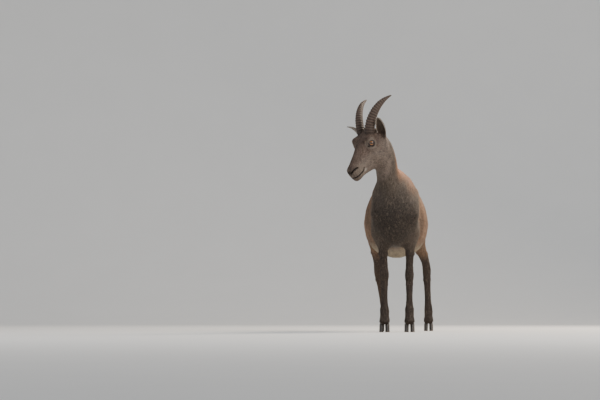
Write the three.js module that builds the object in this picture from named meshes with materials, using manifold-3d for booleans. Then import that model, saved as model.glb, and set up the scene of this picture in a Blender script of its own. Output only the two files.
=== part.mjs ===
// Alpine ibex nanny, life size, standing with the head turned to its right.
// Millimetres, +Z up. The animal faces -Y and its left side is +X. The four soles rest at Z = 0.

import * as THREE from "three";
import { mergeVertices } from "three/addons/utils/BufferGeometryUtils.js";
import Module from "manifold-3d";

const wasm = await Module();
wasm.setup();

// Driving sizes. All outer surfaces include the short summer coat.
const WITHERS = 768; // height of the back over the shoulders
const LOIN = 742; // height of the back behind the ribs
const CROUP = 752; // height of the back over the hips
const STERNUM = 392; // lowest point of the chest between the forelegs
const BELLY = 350; // lowest point of the belly
const CHEST_HALF = 99; // half width of the rib cage inside the shoulders
const BELLY_HALF = 154; // half width of the belly
const RUMP_X = 20; // how far the hips stand to the left of the shoulders
const EYE_RADIUS = 17;
const EAR_LENGTH = 112;
const HORN_LENGTH = 221; // along the curve, from the root hidden in the hair
const HORN_DEPTH = 50; // front to back at the base
const HORN_WIDTH = 37; // side to side at the base
const HORN_RINGS = 14;
const TAIL_LENGTH = 125;
const GAP = 0.3; // between pieces that touch

// The head's own frame: the origin midway between the eyes, x to the left, y backwards along the
// palate and z up from it.
const HEAD_AT = new THREE.Vector3(-146, -450, 862);
const HEAD_TURN = THREE.MathUtils.degToRad(42); // towards the animal's right
const HEAD_DROP = THREE.MathUtils.degToRad(35); // palate below the level
const HEAD_ROLL = THREE.MathUtils.degToRad(5); // left side up
const headFrame = new THREE.Matrix4().compose(
  HEAD_AT,
  new THREE.Quaternion().setFromEuler(new THREE.Euler(HEAD_DROP, -HEAD_ROLL, -HEAD_TURN, "ZXY")),
  new THREE.Vector3(1, 1, 1),
);

const at = (x, y, z) => new THREE.Vector3(x, y, z);
const onHead = (x, y, z) => at(x, y, z).applyMatrix4(headFrame);
const headWay = (x, y, z) => at(x, y, z).transformDirection(headFrame);
const FORWARD = at(0, -1, 0);
const UP = at(0, 0, 1);
const DOWN = at(0, 0, -1);
const mix = THREE.MathUtils.lerp;
const clamp = THREE.MathUtils.clamp;

// Smooth curves through stations

// A smooth function through values at knots. Slopes are those of the neighbours' chord, and with
// steady they are limited so that the curve never overshoots a station.
function track(knots, values, steady) {
  const last = knots.length - 1;
  const chord = (i, j) => (values[j] - values[i]) / (knots[j] - knots[i]);
  const slope = values.map((_, i) => {
    if (i === 0) return chord(0, 1);
    if (i === last) return chord(last - 1, last);
    const before = chord(i - 1, i);
    const after = chord(i, i + 1);
    if (!steady) return chord(i - 1, i + 1);
    return before * after <= 0 ? 0 : (2 * before * after) / (before + after);
  });
  return (s) => {
    let i = 0;
    while (i < last - 1 && s > knots[i + 1]) i += 1;
    const width = knots[i + 1] - knots[i];
    const t = clamp((s - knots[i]) / width, 0, 1);
    const u = 1 - t;
    return (
      u * u * (1 + 2 * t) * values[i] +
      t * t * (1 + 2 * u) * values[i + 1] +
      t * u * width * (u * slope[i] - t * slope[i + 1])
    );
  };
}

// How far a section reaches from its axis at an angle: half ellipses of power 2, fuller above 2.
function reach(section, angle) {
  const c = Math.abs(Math.cos(angle));
  const s = Math.sin(angle);
  const tall = s >= 0 ? section.top : section.low;
  const power = s >= 0 ? section.topPower : section.lowPower;
  return Math.pow(Math.pow(c / section.side, power) + Math.pow(Math.abs(s) / tall, power), -1 / power);
}

// A body of sections along a smooth axis. Each station has its point, its half width "side", and
// how far it reaches towards "up" (top) and away from it (low). With "square" given, every section
// lies square to that one direction, and otherwise to the axis where it is.
class Tube {
  constructor(up, stations, square) {
    const first = stations[0].at;
    const knots = [0];
    stations.slice(1).forEach((st, i) => {
      const straight = knots[i] + st.at.distanceTo(stations[i].at);
      knots.push(square ? st.at.clone().sub(first).dot(square) : straight);
    });
    this.length = knots.at(-1);
    this.first = first;
    this.square = square;
    this.up = up;
    const read = (pick, steady) => track(knots, stations.map(pick), steady);
    this.x = read((st) => st.at.x, false);
    this.y = read((st) => st.at.y, false);
    this.z = read((st) => st.at.z, false);
    this.side = read((st) => st.side, true);
    this.top = read((st) => st.top, true);
    this.low = read((st) => st.low, true);
    this.topPower = read((st) => st.topPower ?? 2, true);
    this.lowPower = read((st) => st.lowPower ?? 2, true);
  }

  centre(s) {
    return at(this.x(s), this.y(s), this.z(s));
  }

  along(s) {
    if (this.square) return this.square;
    const step = this.length * 0.004;
    return this.centre(Math.min(s + step, this.length))
      .sub(this.centre(Math.max(s - step, 0)))
      .normalize();
  }

  section(s) {
    const along = this.along(s);
    const up = this.up.clone().addScaledVector(along, -this.up.dot(along)).normalize();
    return {
      centre: this.centre(s),
      up,
      across: up.clone().cross(along).normalize(),
      side: this.side(s),
      top: this.top(s),
      low: this.low(s),
      topPower: this.topPower(s),
      lowPower: this.lowPower(s),
    };
  }

  // Roughly how far a point is outside this body, negative inside. It needs "square".
  distance(p) {
    const s = p.clone().sub(this.first).dot(this.square);
    const section = this.section(clamp(s, 0, this.length));
    const off = p.clone().sub(section.centre);
    const sideways = off.dot(section.across);
    const upwards = off.dot(section.up);
    const out = Math.hypot(sideways, upwards) - reach(section, Math.atan2(upwards, sideways));
    const past = Math.max(-s, s - this.length);
    return past > 0 ? Math.hypot(Math.max(out, 0), past) : out;
  }
}

// A muscle or bony lump: a bar from a to b with round ends.
function lobe(a, b, radiusA, radiusB) {
  const bar = b.clone().sub(a);
  return {
    distance(p) {
      const off = p.clone().sub(a);
      const t = clamp(off.dot(bar) / bar.lengthSq(), 0, 1);
      off.addScaledVector(bar, -t);
      return off.length() - mix(radiusA, radiusB, t);
    },
  };
}

// The skin's surface is where the field is 0. Parts melt into each other over their blend, and a
// part marked hollow is taken away.
function field(parts) {
  return (p) =>
    parts.reduce((d, part) => {
      const own = part.hollow ? -part.shape.distance(p) : part.shape.distance(p);
      const near = Math.max(part.blend - Math.abs(d - own), 0) / part.blend;
      const soft = (near * near * part.blend) / 4;
      return part.hollow ? Math.max(d, own) + soft : Math.min(d, own) - soft;
    }, 1e6);
}

// Solids

function toSolid(geometry) {
  const bare = geometry.clone();
  bare.deleteAttribute("normal");
  bare.deleteAttribute("uv");
  const merged = mergeVertices(bare, 1e-4);
  const build = (triVerts) =>
    new wasm.Manifold(
      new wasm.Mesh({ numProp: 3, vertProperties: merged.attributes.position.array, triVerts }),
    );
  const faces = new Uint32Array(merged.index.array);
  const solid = build(faces);
  return solid.volume() >= 0 ? solid : build(faces.reverse());
}

function toGeometry(solid) {
  const mesh = solid.getMesh();
  const position = new Float32Array(mesh.numVert * 3);
  for (let i = 0; i < mesh.numVert; i += 1)
    position.set(mesh.vertProperties.subarray(i * mesh.numProp, i * mesh.numProp + 3), i * 3);
  const geometry = new THREE.BufferGeometry()
    .setAttribute("position", new THREE.BufferAttribute(position, 3))
    .setIndex(new THREE.BufferAttribute(mesh.triVerts, 1))
    .toNonIndexed();
  geometry.computeVertexNormals();
  return geometry;
}

const join = (solids) => solids.reduce((whole, solid) => whole.add(solid));
const largest = (solid) => solid.decompose().sort((a, b) => b.volume() - a.volume())[0];

// How far a ray from a section's axis runs before it leaves the field, at most "limit" past the
// section's own edge.
function rayLength(skin, section, way, angle, limit) {
  const own = reach(section, angle);
  const value = (r) => skin(section.centre.clone().addScaledVector(way, r));
  let inner = own;
  let outer = own;
  if (value(own) > 0) inner = own * 0.5;
  else {
    while (outer < own + limit && value(outer) < 0) {
      inner = outer;
      outer = Math.min(outer + 4, own + limit);
      if (outer === own + limit && value(outer) < 0) return outer;
    }
  }
  for (let i = 0; i < 10; i += 1) {
    const middle = (inner + outer) / 2;
    if (value(middle) > 0) outer = middle;
    else inner = middle;
  }
  return (inner + outer) / 2;
}

// A tube as a closed solid: a cylinder's rings laid along it. With a skin, each ring's points move
// out to the skin's surface. spread moves rings closer where its slope is small, and grow makes the
// whole solid thicker on every side and at both ends.
function tubeSolid(tube, { around, along, skin, limit = 0, grow = 0, spread = (t) => t }) {
  const shape = new THREE.CylinderGeometry(1, 1, 1, around, along);
  const points = shape.attributes.position;
  const sections = new Map();
  for (let i = 0; i < points.count; i += 1) {
    const x = points.getX(i);
    const z = points.getZ(i);
    const t = clamp(0.5 - points.getY(i), 0, 1);
    const ring = Math.round(t * along);
    if (!sections.has(ring)) {
      const s = spread(ring / along) * tube.length;
      const made = tube.section(s);
      if (ring === 0) made.centre.addScaledVector(tube.along(s), -grow);
      if (ring === along) made.centre.addScaledVector(tube.along(s), grow);
      sections.set(ring, made);
    }
    const section = sections.get(ring);
    const p = section.centre.clone();
    if (Math.hypot(x, z) > 0.5) {
      const angle = (Math.round((Math.atan2(z, x) / (2 * Math.PI)) * around) / around) * 2 * Math.PI;
      const way = section.across
        .clone()
        .multiplyScalar(Math.cos(angle))
        .addScaledVector(section.up, Math.sin(angle));
      const length = skin ? rayLength(skin, section, way, angle, limit) : reach(section, angle);
      p.addScaledVector(way, length + grow);
    }
    points.setXYZ(i, p.x, p.y, p.z);
  }
  return toSolid(shape);
}

function box(centre, width, depth, height, turn = new THREE.Matrix4()) {
  const shape = new THREE.BoxGeometry(width, depth, height);
  shape.applyMatrix4(turn);
  shape.translate(centre.x, centre.y, centre.z);
  return toSolid(shape);
}

// A thin slab that parts the body: square on to "normal", as wide as given both ways.
function cut(centre, normal, width, depth) {
  const turn = new THREE.Matrix4().makeRotationFromQuaternion(
    new THREE.Quaternion().setFromUnitVectors(UP, normal.clone().normalize()),
  );
  return box(centre, width, depth, GAP, turn);
}

// Trunk

const rumpShift = (y) => RUMP_X * THREE.MathUtils.smoothstep(y, -100, 330);

// One section of the trunk from its highest and lowest points, its half width and where that is.
function trunkStation(y, top, low, side, wideAt, topPower = 1.9, lowPower = 2.1) {
  return {
    at: at(rumpShift(y), y, wideAt),
    side,
    top: top - wideAt,
    low: wideAt - low,
    topPower,
    lowPower,
  };
}

const trunk = new Tube(UP, [
  trunkStation(-402, 560, 500, 26, 530),
  trunkStation(-388, 606, 462, 52, 536),
  trunkStation(-350, 668, STERNUM + 28, 0.78 * CHEST_HALF, 548),
  trunkStation(-300, 724, STERNUM + 6, 0.92 * CHEST_HALF, 556),
  trunkStation(-235, WITHERS - 3, STERNUM, CHEST_HALF, 554, 1.7),
  trunkStation(-160, WITHERS - 4, STERNUM - 3, 1.16 * CHEST_HALF, 540, 1.7),
  trunkStation(-60, 750, 0.5 * (STERNUM + BELLY), 0.93 * BELLY_HALF, 522, 1.7),
  trunkStation(30, LOIN, BELLY, BELLY_HALF, 512, 1.7),
  trunkStation(110, LOIN, BELLY + 2, 0.97 * BELLY_HALF, 514, 1.7),
  trunkStation(190, CROUP - 4, BELLY + 26, 0.8 * BELLY_HALF, 530, 1.7),
  trunkStation(270, CROUP - 2, 440, 0.66 * BELLY_HALF, 560, 1.8),
  trunkStation(345, CROUP - 18, 500, 0.56 * BELLY_HALF, 592, 1.9),
  trunkStation(400, 702, 545, 0.42 * BELLY_HALF, 618),
  trunkStation(428, 664, 590, 26, 628),
], at(0, 1, 0));

// The same muscles on both sides; side is 1 on the left and -1 on the right.
function bothSides(make) {
  return [1, -1].flatMap((side) => make(side));
}

const shoulderMuscles = bothSides((side) => [
  { shape: lobe(at(side * 46, -205, 706), at(side * 72, -330, 560), 26, 34), blend: 40 },
  { shape: lobe(at(side * 66, -352, 545), at(side * 72, -240, 458), 36, 34), blend: 36 },
  { shape: lobe(at(side * 62, -205, 640), at(side * 72, -212, 470), 40, 34), blend: 36 },
]);

const haunchMuscles = bothSides((side) => [
  { shape: lobe(at(RUMP_X + side * 44, 228, 650), at(RUMP_X + side * 78, 225, 470), 50, 46), blend: 44 },
  { shape: lobe(at(RUMP_X + side * 44, 340, 630), at(RUMP_X + side * 76, 318, 475), 54, 44), blend: 44 },
  { shape: lobe(at(RUMP_X + side * 56, 178, 706), at(RUMP_X + side * 54, 214, 702), 17, 19), blend: 36 },
  {
    shape: lobe(at(RUMP_X + side * 128, 138, 640), at(RUMP_X + side * 128, 160, 600), 20, 20),
    blend: 40,
    hollow: true,
  },
]);

const trunkParts = [
  { shape: trunk, blend: 1 },
  ...shoulderMuscles,
  ...haunchMuscles,
  { shape: lobe(at(RUMP_X * 0.8, 208, 420), at(RUMP_X, 250, 436), 34, 30), blend: 30 },
];
const trunkSkin = field(trunkParts);
const trunkSolid = tubeSolid(trunk, { around: 30, along: 29, skin: trunkSkin, limit: 60 });

// Neck

const NECK_WAY = at(-0.1, -0.44, 0.89).normalize();
const neck = new Tube(FORWARD, [
  { at: at(4, -205, 560), side: 82, top: 120, low: 96 },
  { at: at(0, -252, 620), side: 76, top: 112, low: 92, lowPower: 1.8 },
  { at: at(-14, -300, 676), side: 61, top: 94, low: 84, lowPower: 1.7 },
  { at: at(-36, -344, 742), side: 53, top: 76, low: 66, lowPower: 1.7 },
  { at: at(-46, -376, 806), side: 50, top: 62, low: 52, lowPower: 1.8 },
  { at: at(-62, -398, 862), side: 46, top: 52, low: 42 },
  { at: at(-82, -416, 902), side: 36, top: 36, low: 32 },
  { at: at(-94, -426, 922), side: 20, top: 18, low: 18 },
], NECK_WAY);
const neckSkin = field([{ shape: trunk, blend: 1 }, ...shoulderMuscles, { shape: neck, blend: 70 }]);
const neckSolid = tubeSolid(neck, { around: 24, along: 15, skin: neckSkin, limit: 60 });

// Head

// One section of the head, in its own frame: height of the profile above and below, half width.
function headStation(y, top, low, side, wideAt, topPower = 2, lowPower = 2) {
  return {
    at: onHead(0, y, wideAt),
    side,
    top: top - wideAt,
    low: wideAt - low,
    topPower,
    lowPower,
  };
}

const head = new Tube(headWay(0, 0, 1), [
  headStation(-153, -50, -84, 13, -66),
  headStation(-149, -42, -106, 19, -70),
  headStation(-140, -34, -116, 24, -72, 2.2, 2.2),
  headStation(-122, -26, -118, 26, -70, 2.2, 2.2),
  headStation(-98, -15, -117, 28, -66, 2.1, 1.9),
  headStation(-70, -3, -119, 31, -58, 2, 1.8),
  headStation(-40, 12, -124, 38, -48, 2, 1.8),
  headStation(-12, 25, -129, 45, -40, 2, 1.8),
  headStation(16, 37, -131, 49, -36, 2.2, 1.9),
  headStation(44, 44, -126, 50, -34, 2.3, 2),
  headStation(70, 38, -112, 48, -32, 2.2),
  headStation(94, 20, -94, 42, -34),
  headStation(112, -4, -78, 30, -38),
], headWay(0, 1, 0));

const headLumps = bothSides((side) => [
  // brow and cheek bone round the eye
  { shape: lobe(onHead(side * 38, 0, 16), onHead(side * 40, 22, 14), 19, 18), blend: 16 },
  { shape: lobe(onHead(side * 36, -14, -22), onHead(side * 41, 24, -24), 13, 15), blend: 16 },
  // cheek muscle over the jaw
  { shape: lobe(onHead(side * 30, -2, -66), onHead(side * 30, 26, -96), 22, 22), blend: 24 },
  // nostril wing and lips
  { shape: lobe(onHead(side * 14, -144, -56), onHead(side * 18, -126, -54), 10, 10), blend: 8 },
  { shape: lobe(onHead(side * 13, -140, -76), onHead(side * 19, -104, -76), 11, 9), blend: 9 },
  { shape: lobe(onHead(side * 9, -134, -98), onHead(side * 14, -104, -98), 11, 8), blend: 9 },
  // the hollow in front of the eye and the one between the jaws
  { shape: lobe(onHead(side * 44, -48, 4), onHead(side * 36, -76, -8), 10, 8), blend: 16, hollow: true },
]);
const headSkin = field([{ shape: head, blend: 1 }, { shape: neck, blend: 34 }, ...headLumps]);
const headRings = (t) => t + 0.035 * Math.sin(2 * Math.PI * t);
const headShell = (options) => tubeSolid(head, { around: 32, along: 30, spread: headRings, ...options });

// The lips' line: a thin band through the muzzle along the mouth, less a core, so that it is a
// groove of even depth.
const MOUTH_LINE = [
  [-170, -90],
  [-147, -90],
  [-124, -88],
  [-106, -86.5],
  [-96, -82],
  [-91, -76],
];
const LIP_GAP = 2.6;
const LIP_DEPTH = 7;
function mouthBand() {
  const line = new THREE.SplineCurve(MOUTH_LINE.map(([y, z]) => new THREE.Vector2(y, z))).getPoints(12);
  const shape = new THREE.Shape([
    ...line.map((p) => new THREE.Vector2(p.x, p.y + LIP_GAP / 2)),
    ...line.reverse().map((p, i) => new THREE.Vector2(p.x, p.y - (i ? LIP_GAP / 2 : 0))),
  ]);
  const band = new THREE.ExtrudeGeometry(shape, { depth: 90, bevelEnabled: false, steps: 1 });
  // the shape's own plane becomes the head's upright plane, and its depth the width
  band.applyMatrix4(new THREE.Matrix4().makeBasis(at(0, 1, 0), at(0, 0, 1), at(1, 0, 0)));
  band.translate(-45, 0, 0);
  band.applyMatrix4(headFrame);
  return toSolid(band);
}

function nostril(side) {
  return tubeSolid(
    new Tube(headWay(0, 0, 1), [
      { at: onHead(side * 7, -160, -62), side: 2.5, top: 2.5, low: 3 },
      { at: onHead(side * 10.5, -151, -60), side: 4, top: 3.5, low: 4.5 },
      { at: onHead(side * 17, -144, -56), side: 5, top: 3.5, low: 3.5 },
      { at: onHead(side * 24, -136, -53), side: 4, top: 2.8, low: 2.8 },
      { at: onHead(side * 30, -128, -54), side: 3, top: 2, low: 2 },
    ]),
    { around: 8, along: 6 },
  );
}

// Eyes and lids

const EYE = { x: 45, y: 4, z: -5 };
const eyeWay = (side) => headWay(side * 0.83, -0.5, 0.22);
const eyeCentre = (side) => onHead(side * EYE.x, EYE.y, EYE.z);
function eyeBall(side, grow = 0) {
  const ball = new THREE.SphereGeometry(EYE_RADIUS + grow, 14, 8);
  const centre = eyeCentre(side);
  ball.translate(centre.x, centre.y, centre.z);
  return toSolid(ball);
}

// A rim of skin round the eye's opening, longer than high, with the fold of the upper lid.
const LID_LENGTH = 16.6;
const LID_HEIGHT = 12.4;
const LID_THICK = 3.6;
function lids(side) {
  const rim = new THREE.TorusGeometry(1, 0.24, 5, 18);
  const points = rim.attributes.position;
  for (let i = 0; i < points.count; i += 1) {
    const angle = Math.atan2(points.getY(i), points.getX(i));
    const out = Math.hypot(points.getX(i), points.getY(i)) - 1;
    const thick = LID_THICK * (1 + 0.35 * Math.max(Math.sin(angle), 0));
    const length = LID_LENGTH + (out / 0.24) * thick;
    const height = LID_HEIGHT + (out / 0.24) * thick;
    const back = 3.2 * Math.cos(angle) * Math.cos(angle); // the corners lie further round the ball
    points.setXYZ(
      i,
      length * Math.cos(angle),
      height * Math.sin(angle),
      (points.getZ(i) / 0.24) * thick - back,
    );
  }
  const out = eyeWay(side);
  const up = headWay(0, 0.1, 1).addScaledVector(out, -headWay(0, 0.1, 1).dot(out)).normalize();
  const across = up.clone().cross(out);
  const place = new THREE.Matrix4().makeBasis(across, up, out);
  place.setPosition(eyeCentre(side).addScaledVector(out, 10.2));
  rim.applyMatrix4(place);
  return toSolid(rim);
}

// Horns

// The horn's axis is an arc in a plane that leans outwards, turning backwards and down.
const HORN_ROOT = { x: 25, y: 43, z: 24 };
const HORN_RISE = THREE.MathUtils.degToRad(62); // above the palate at the root
const HORN_BEND = THREE.MathUtils.degToRad(75); // how far it turns on the way to its tip
const HORN_SPLAY = 0.35; // outwards for each unit along
function hornAxis(side, along) {
  const t = along / HORN_LENGTH;
  const steps = 24;
  const p = at(side * HORN_ROOT.x, HORN_ROOT.y, HORN_ROOT.z);
  for (let i = 0; i < steps; i += 1) {
    const u = (t * (i + 0.5)) / steps;
    const angle = HORN_RISE - HORN_BEND * u ** 1.15;
    const out = HORN_SPLAY * (0.55 + 0.9 * u - 0.75 * u * u);
    const step = at(side * out, Math.cos(angle), Math.sin(angle)).normalize();
    p.addScaledVector(step, (t * HORN_LENGTH) / steps);
  }
  return onHead(p.x, p.y, p.z);
}
function horn(side, grow = 0) {
  const plain = 0.17; // share of the horn below the first ring
  const ringed = 0.82; // share below the smooth tip
  const steps = HORN_RINGS * 2;
  const stations = Array.from({ length: 13 }, (_, i) => {
    const t = i / 12;
    const taper = 1 - 0.18 * t - 0.72 * t ** 2.2;
    return {
      at: hornAxis(side, t * HORN_LENGTH),
      side: (HORN_WIDTH / 2) * taper,
      top: (HORN_DEPTH / 2) * taper,
      low: (HORN_DEPTH / 2) * taper * 0.95,
      topPower: 2,
      lowPower: 2,
    };
  });
  const axis = new Tube(headWay(0, -1, 0.6), stations);
  // raised rings, strongest on the front edge and fading towards the tip
  const plainReach = axis.section.bind(axis);
  axis.section = (s) => {
    const section = plainReach(s);
    const t = s / axis.length;
    if (t > plain && t < ringed) {
      const phase = ((t - plain) / (ringed - plain)) * HORN_RINGS;
      const bump = Math.sin((phase % 1) * Math.PI) * (1 - 0.55 * t);
      section.top += 2.6 * bump;
      section.side += 1.1 * bump;
      section.low += 0.5 * bump;
    }
    return section;
  };
  const ringSteps = (t) => {
    const share = 3 / (steps + 6);
    if (t < share) return (t / share) * plain;
    if (t > 1 - share) return ringed + ((t - 1 + share) / share) * (1 - ringed);
    return mix(plain, ringed, (t - share) / (1 - 2 * share));
  };
  return tubeSolid(axis, { around: 12, along: steps + 6, spread: ringSteps, grow });
}

// Ears

// A cup: an arc of skin that is nearly closed at the root and opens towards the tip.
const EAR_ROOT = { x: 56, y: 76, z: -26 };
function ear(side, lift, shift = at(0, 0, 0)) {
  const way = headWay(side * lift.out, lift.back, lift.up);
  const open = headWay(side * 0.72, -0.74, -0.1);
  open.addScaledVector(way, -open.dot(way)).normalize();
  const across = way.clone().cross(open).normalize();
  const root = onHead(side * EAR_ROOT.x, EAR_ROOT.y, EAR_ROOT.z).add(shift);
  const half = 9;
  const rings = 10;
  const radius = track([0, 0.16, 0.4, 0.65, 0.86, 1], [13, 17, 22, 21, 15, 4], true);
  const spreadAngle = track([0, 0.16, 0.4, 0.65, 0.86, 1], [150, 128, 98, 78, 62, 40], true);
  const thick = track([0, 0.3, 1], [5, 3.4, 2], true);
  const shape = new THREE.CylinderGeometry(1, 1, 1, 2 * half, rings);
  const points = shape.attributes.position;
  for (let i = 0; i < points.count; i += 1) {
    const x = points.getX(i);
    const z = points.getZ(i);
    const t = clamp(0.5 - points.getY(i), 0, 1);
    const r = radius(t);
    const a = THREE.MathUtils.degToRad(spreadAngle(t));
    const middle = root
      .clone()
      .addScaledVector(way, t * EAR_LENGTH)
      .addScaledVector(open, 9 * t * t);
    let angle = 0;
    let out = r - thick(t) / 2;
    if (Math.hypot(x, z) > 0.5) {
      const turn = (Math.atan2(z, x) / (2 * Math.PI) + 1) % 1;
      const j = Math.round(turn * 2 * half) % (2 * half);
      const outer = j < half;
      angle = outer ? mix(-a, a, j / (half - 1)) : mix(a, -a, (j - half) / (half - 1));
      out = outer ? r : r - thick(t);
    }
    const p = middle
      .addScaledVector(across, out * Math.sin(angle))
      .addScaledVector(open, -out * Math.cos(angle));
    points.setXYZ(i, p.x, p.y, p.z);
  }
  const cup = toSolid(shape);
  // the root's plug, which also closes the bottom of the cup
  const plug = new Tube(open, [
    { at: root.clone().addScaledVector(way, -12), side: 11, top: 9, low: 11 },
    { at: root.clone().addScaledVector(way, 6), side: 14, top: 9, low: 14 },
    { at: root.clone().addScaledVector(way, 20), side: 12, top: 1, low: 15 },
    { at: root.clone().addScaledVector(way, 30).addScaledVector(open, -6), side: 7, top: 1, low: 11 },
  ]);
  return cup.add(tubeSolid(plug, { around: 10, along: 4 }));
}

// The room an ear needs: the flesh is cut by the ear and by copies moved a gap along each axis.
const EAR_SHIFTS = [
  at(0, 0, 0),
  at(GAP, 0, 0),
  at(-GAP, 0, 0),
  at(0, GAP, 0),
  at(0, -GAP, 0),
  at(0, 0, GAP),
  at(0, 0, -GAP),
];

// Legs

// A leg is one tube from inside the body to the coronet. Each station has its point, half width,
// and how far it reaches forwards and backwards.
const legStation = (x, y, z, side, front, back) => ({ at: at(x, y, z), side, top: front, low: back });

function foreleg({ elbow, knee, foot, y }) {
  return new Tube(FORWARD, [
    legStation(0.9 * elbow, y + 16, 520, 24, 30, 30),
    legStation(elbow, y + 16, 486, 32, 38, 44),
    legStation(elbow, y + 14, 448, 31, 38, 46),
    legStation(mix(elbow, knee, 0.35), y + 8, 398, 26, 31, 34),
    legStation(mix(elbow, knee, 0.7), y + 4, 345, 19, 22, 24),
    legStation(mix(elbow, knee, 0.9), y + 1, 306, 17.5, 18, 19),
    legStation(knee, y - 1, 280, 20.5, 21, 19),
    legStation(knee, y - 1, 258, 21.5, 22, 20),
    legStation(knee, y + 1, 234, 17.5, 16, 20),
    legStation(mix(knee, foot, 0.3), y + 2, 205, 16, 15, 18),
    legStation(mix(knee, foot, 0.6), y + 2, 160, 15, 14.5, 17.5),
    legStation(mix(knee, foot, 0.8), y + 1, 126, 17, 16, 19.5),
    legStation(foot, y, 106, 21.5, 19, 24),
    legStation(foot, y - 7, 78, 20, 17, 21),
    legStation(foot, y - 15, 52, 24.5, 24, 23),
    legStation(foot, y - 17, 34, 23, 24, 21),
  ], DOWN);
}

function hindleg({ stifle, hock, foot, y }) {
  return new Tube(FORWARD, [
    legStation(0.62 * stifle, y - 66, 590, 22, 34, 34),
    legStation(0.82 * stifle, y - 80, 530, 36, 60, 56),
    legStation(stifle, y - 84, 464, 40, 56, 60),
    legStation(mix(stifle, hock, 0.35), y - 62, 408, 33, 38, 42),
    legStation(mix(stifle, hock, 0.75), y - 28, 356, 23.5, 26, 31),
    legStation(mix(stifle, hock, 0.95), y - 8, 322, 20.5, 22, 33),
    legStation(hock, y, 294, 21, 22, 29),
    legStation(mix(hock, foot, 0.12), y + 4, 262, 19, 18.5, 23),
    legStation(mix(hock, foot, 0.35), y + 3, 222, 16.5, 16, 19),
    legStation(mix(hock, foot, 0.6), y, 168, 15.5, 15, 18.5),
    legStation(mix(hock, foot, 0.8), y - 3, 130, 17, 16.5, 20.5),
    legStation(foot, y - 5, 106, 21, 19, 23.5),
    legStation(foot, y - 14, 78, 19.5, 17, 20.5),
    legStation(foot, y - 22, 52, 23.5, 23, 22),
    legStation(foot, y - 24, 34, 22, 22, 20),
  ], DOWN);
}

const LEGS = {
  foreleg_left: {
    fore: true,
    tube: foreleg({ elbow: 72, knee: 66, foot: 66, y: -246 }),
    foot: at(66, -264, 0),
  },
  foreleg_right: {
    fore: true,
    tube: foreleg({ elbow: -62, knee: -50, foot: -50, y: -262 }),
    foot: at(-50, -280, 0),
  },
  hindleg_left: {
    fore: false,
    tube: hindleg({ stifle: 100, hock: 154, foot: 162, y: 326 }),
    foot: at(162, 301, 0),
  },
  hindleg_right: {
    fore: false,
    tube: hindleg({ stifle: -98, hock: -84, foot: -50, y: 362 }),
    foot: at(-50, 337, 0),
  },
};

// A claw of the cloven hoof: rings from the flat sole up to the coronet, each shorter and further
// back than the one below, with a flat inner wall.
const CLAW = { fore: { length: 60, width: 23, height: 40 }, hind: { length: 54, width: 21, height: 38 } };
const CLEFT = 3.4; // between the two claws
function claw(leg, outward, grow = 0) {
  const size = leg.fore ? CLAW.fore : CLAW.hind;
  const rings = 3;
  const shape = new THREE.CylinderGeometry(1, 1, 1, 12, rings);
  const points = shape.attributes.position;
  for (let i = 0; i < points.count; i += 1) {
    const t = clamp(points.getY(i) + 0.5, 0, 1);
    const round = Math.hypot(points.getX(i), points.getZ(i));
    const angle = Math.atan2(points.getZ(i), points.getX(i));
    const half = (size.length / 2) * (1 - 0.34 * t) + grow;
    const widest = (size.width / 2) * (1 - 0.1 * t - 0.06 * (1 - t) ** 2) + grow;
    const c = Math.cos(angle);
    const s = Math.sin(angle);
    const outer = c * outward > 0;
    const flat = outer ? 2.3 : 3.4;
    const r = round > 0.5 ? Math.pow(Math.abs(c) ** flat + Math.abs(s) ** flat, -1 / flat) : 0;
    const pinch = 1 - 0.32 * clamp(-s, 0, 1) ** 2 * (1 - 0.3 * t); // narrower at the toe
    const x = outward * (size.width / 2 + CLEFT / 2) + widest * pinch * r * c;
    const y = half * r * s + size.length * 0.17 * t;
    const sole = t === 0 ? 0 : grow;
    const lean = outward * (1 - s) * 1.1 * (1 - t);
    const z = size.height * t * (s > 0 ? 1 - 0.12 * s : 1) + sole;
    points.setXYZ(i, x + lean, y, z);
  }
  shape.translate(leg.foot.x, leg.foot.y, leg.foot.z);
  return toSolid(shape);
}

// The small horny dewclaws behind the fetlock.
function dewclaw(leg, outward, grow = 0) {
  const y = leg.foot.y + 31;
  const x = leg.foot.x + outward * 11;
  const pad = (dx, dy, z, r) => {
    const centre = at(x + outward * dx, y + dy, z);
    return { at: centre, side: r, top: r * 0.9, low: r * 0.9 };
  };
  return tubeSolid(
    new Tube(at(0, 1, 0), [pad(-2, -9, 86, 8), pad(0, -3, 78, 9), pad(2, 3, 69, 8), pad(3, 6, 61, 4)]),
    { around: 6, along: 4, grow },
  );
}

function legSolid(leg) {
  const skin = field([
    { shape: trunk, blend: 1 },
    ...(leg.fore ? shoulderMuscles : haunchMuscles),
    ...(leg.fore
      ? []
      : [
          {
            // the tendon to the point of the hock
            shape: lobe(
              leg.tube.centre(leg.tube.length * 0.3).add(at(0, 34, -8)),
              leg.tube.centre(leg.tube.length * 0.42).add(at(0, 34, 12)),
              9,
              10,
            ),
            blend: 12,
          },
        ]),
    { shape: leg.tube, blend: 32 },
  ]);
  return tubeSolid(leg.tube, { around: 12, along: 26, skin, limit: 31 });
}

// Tail

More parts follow.
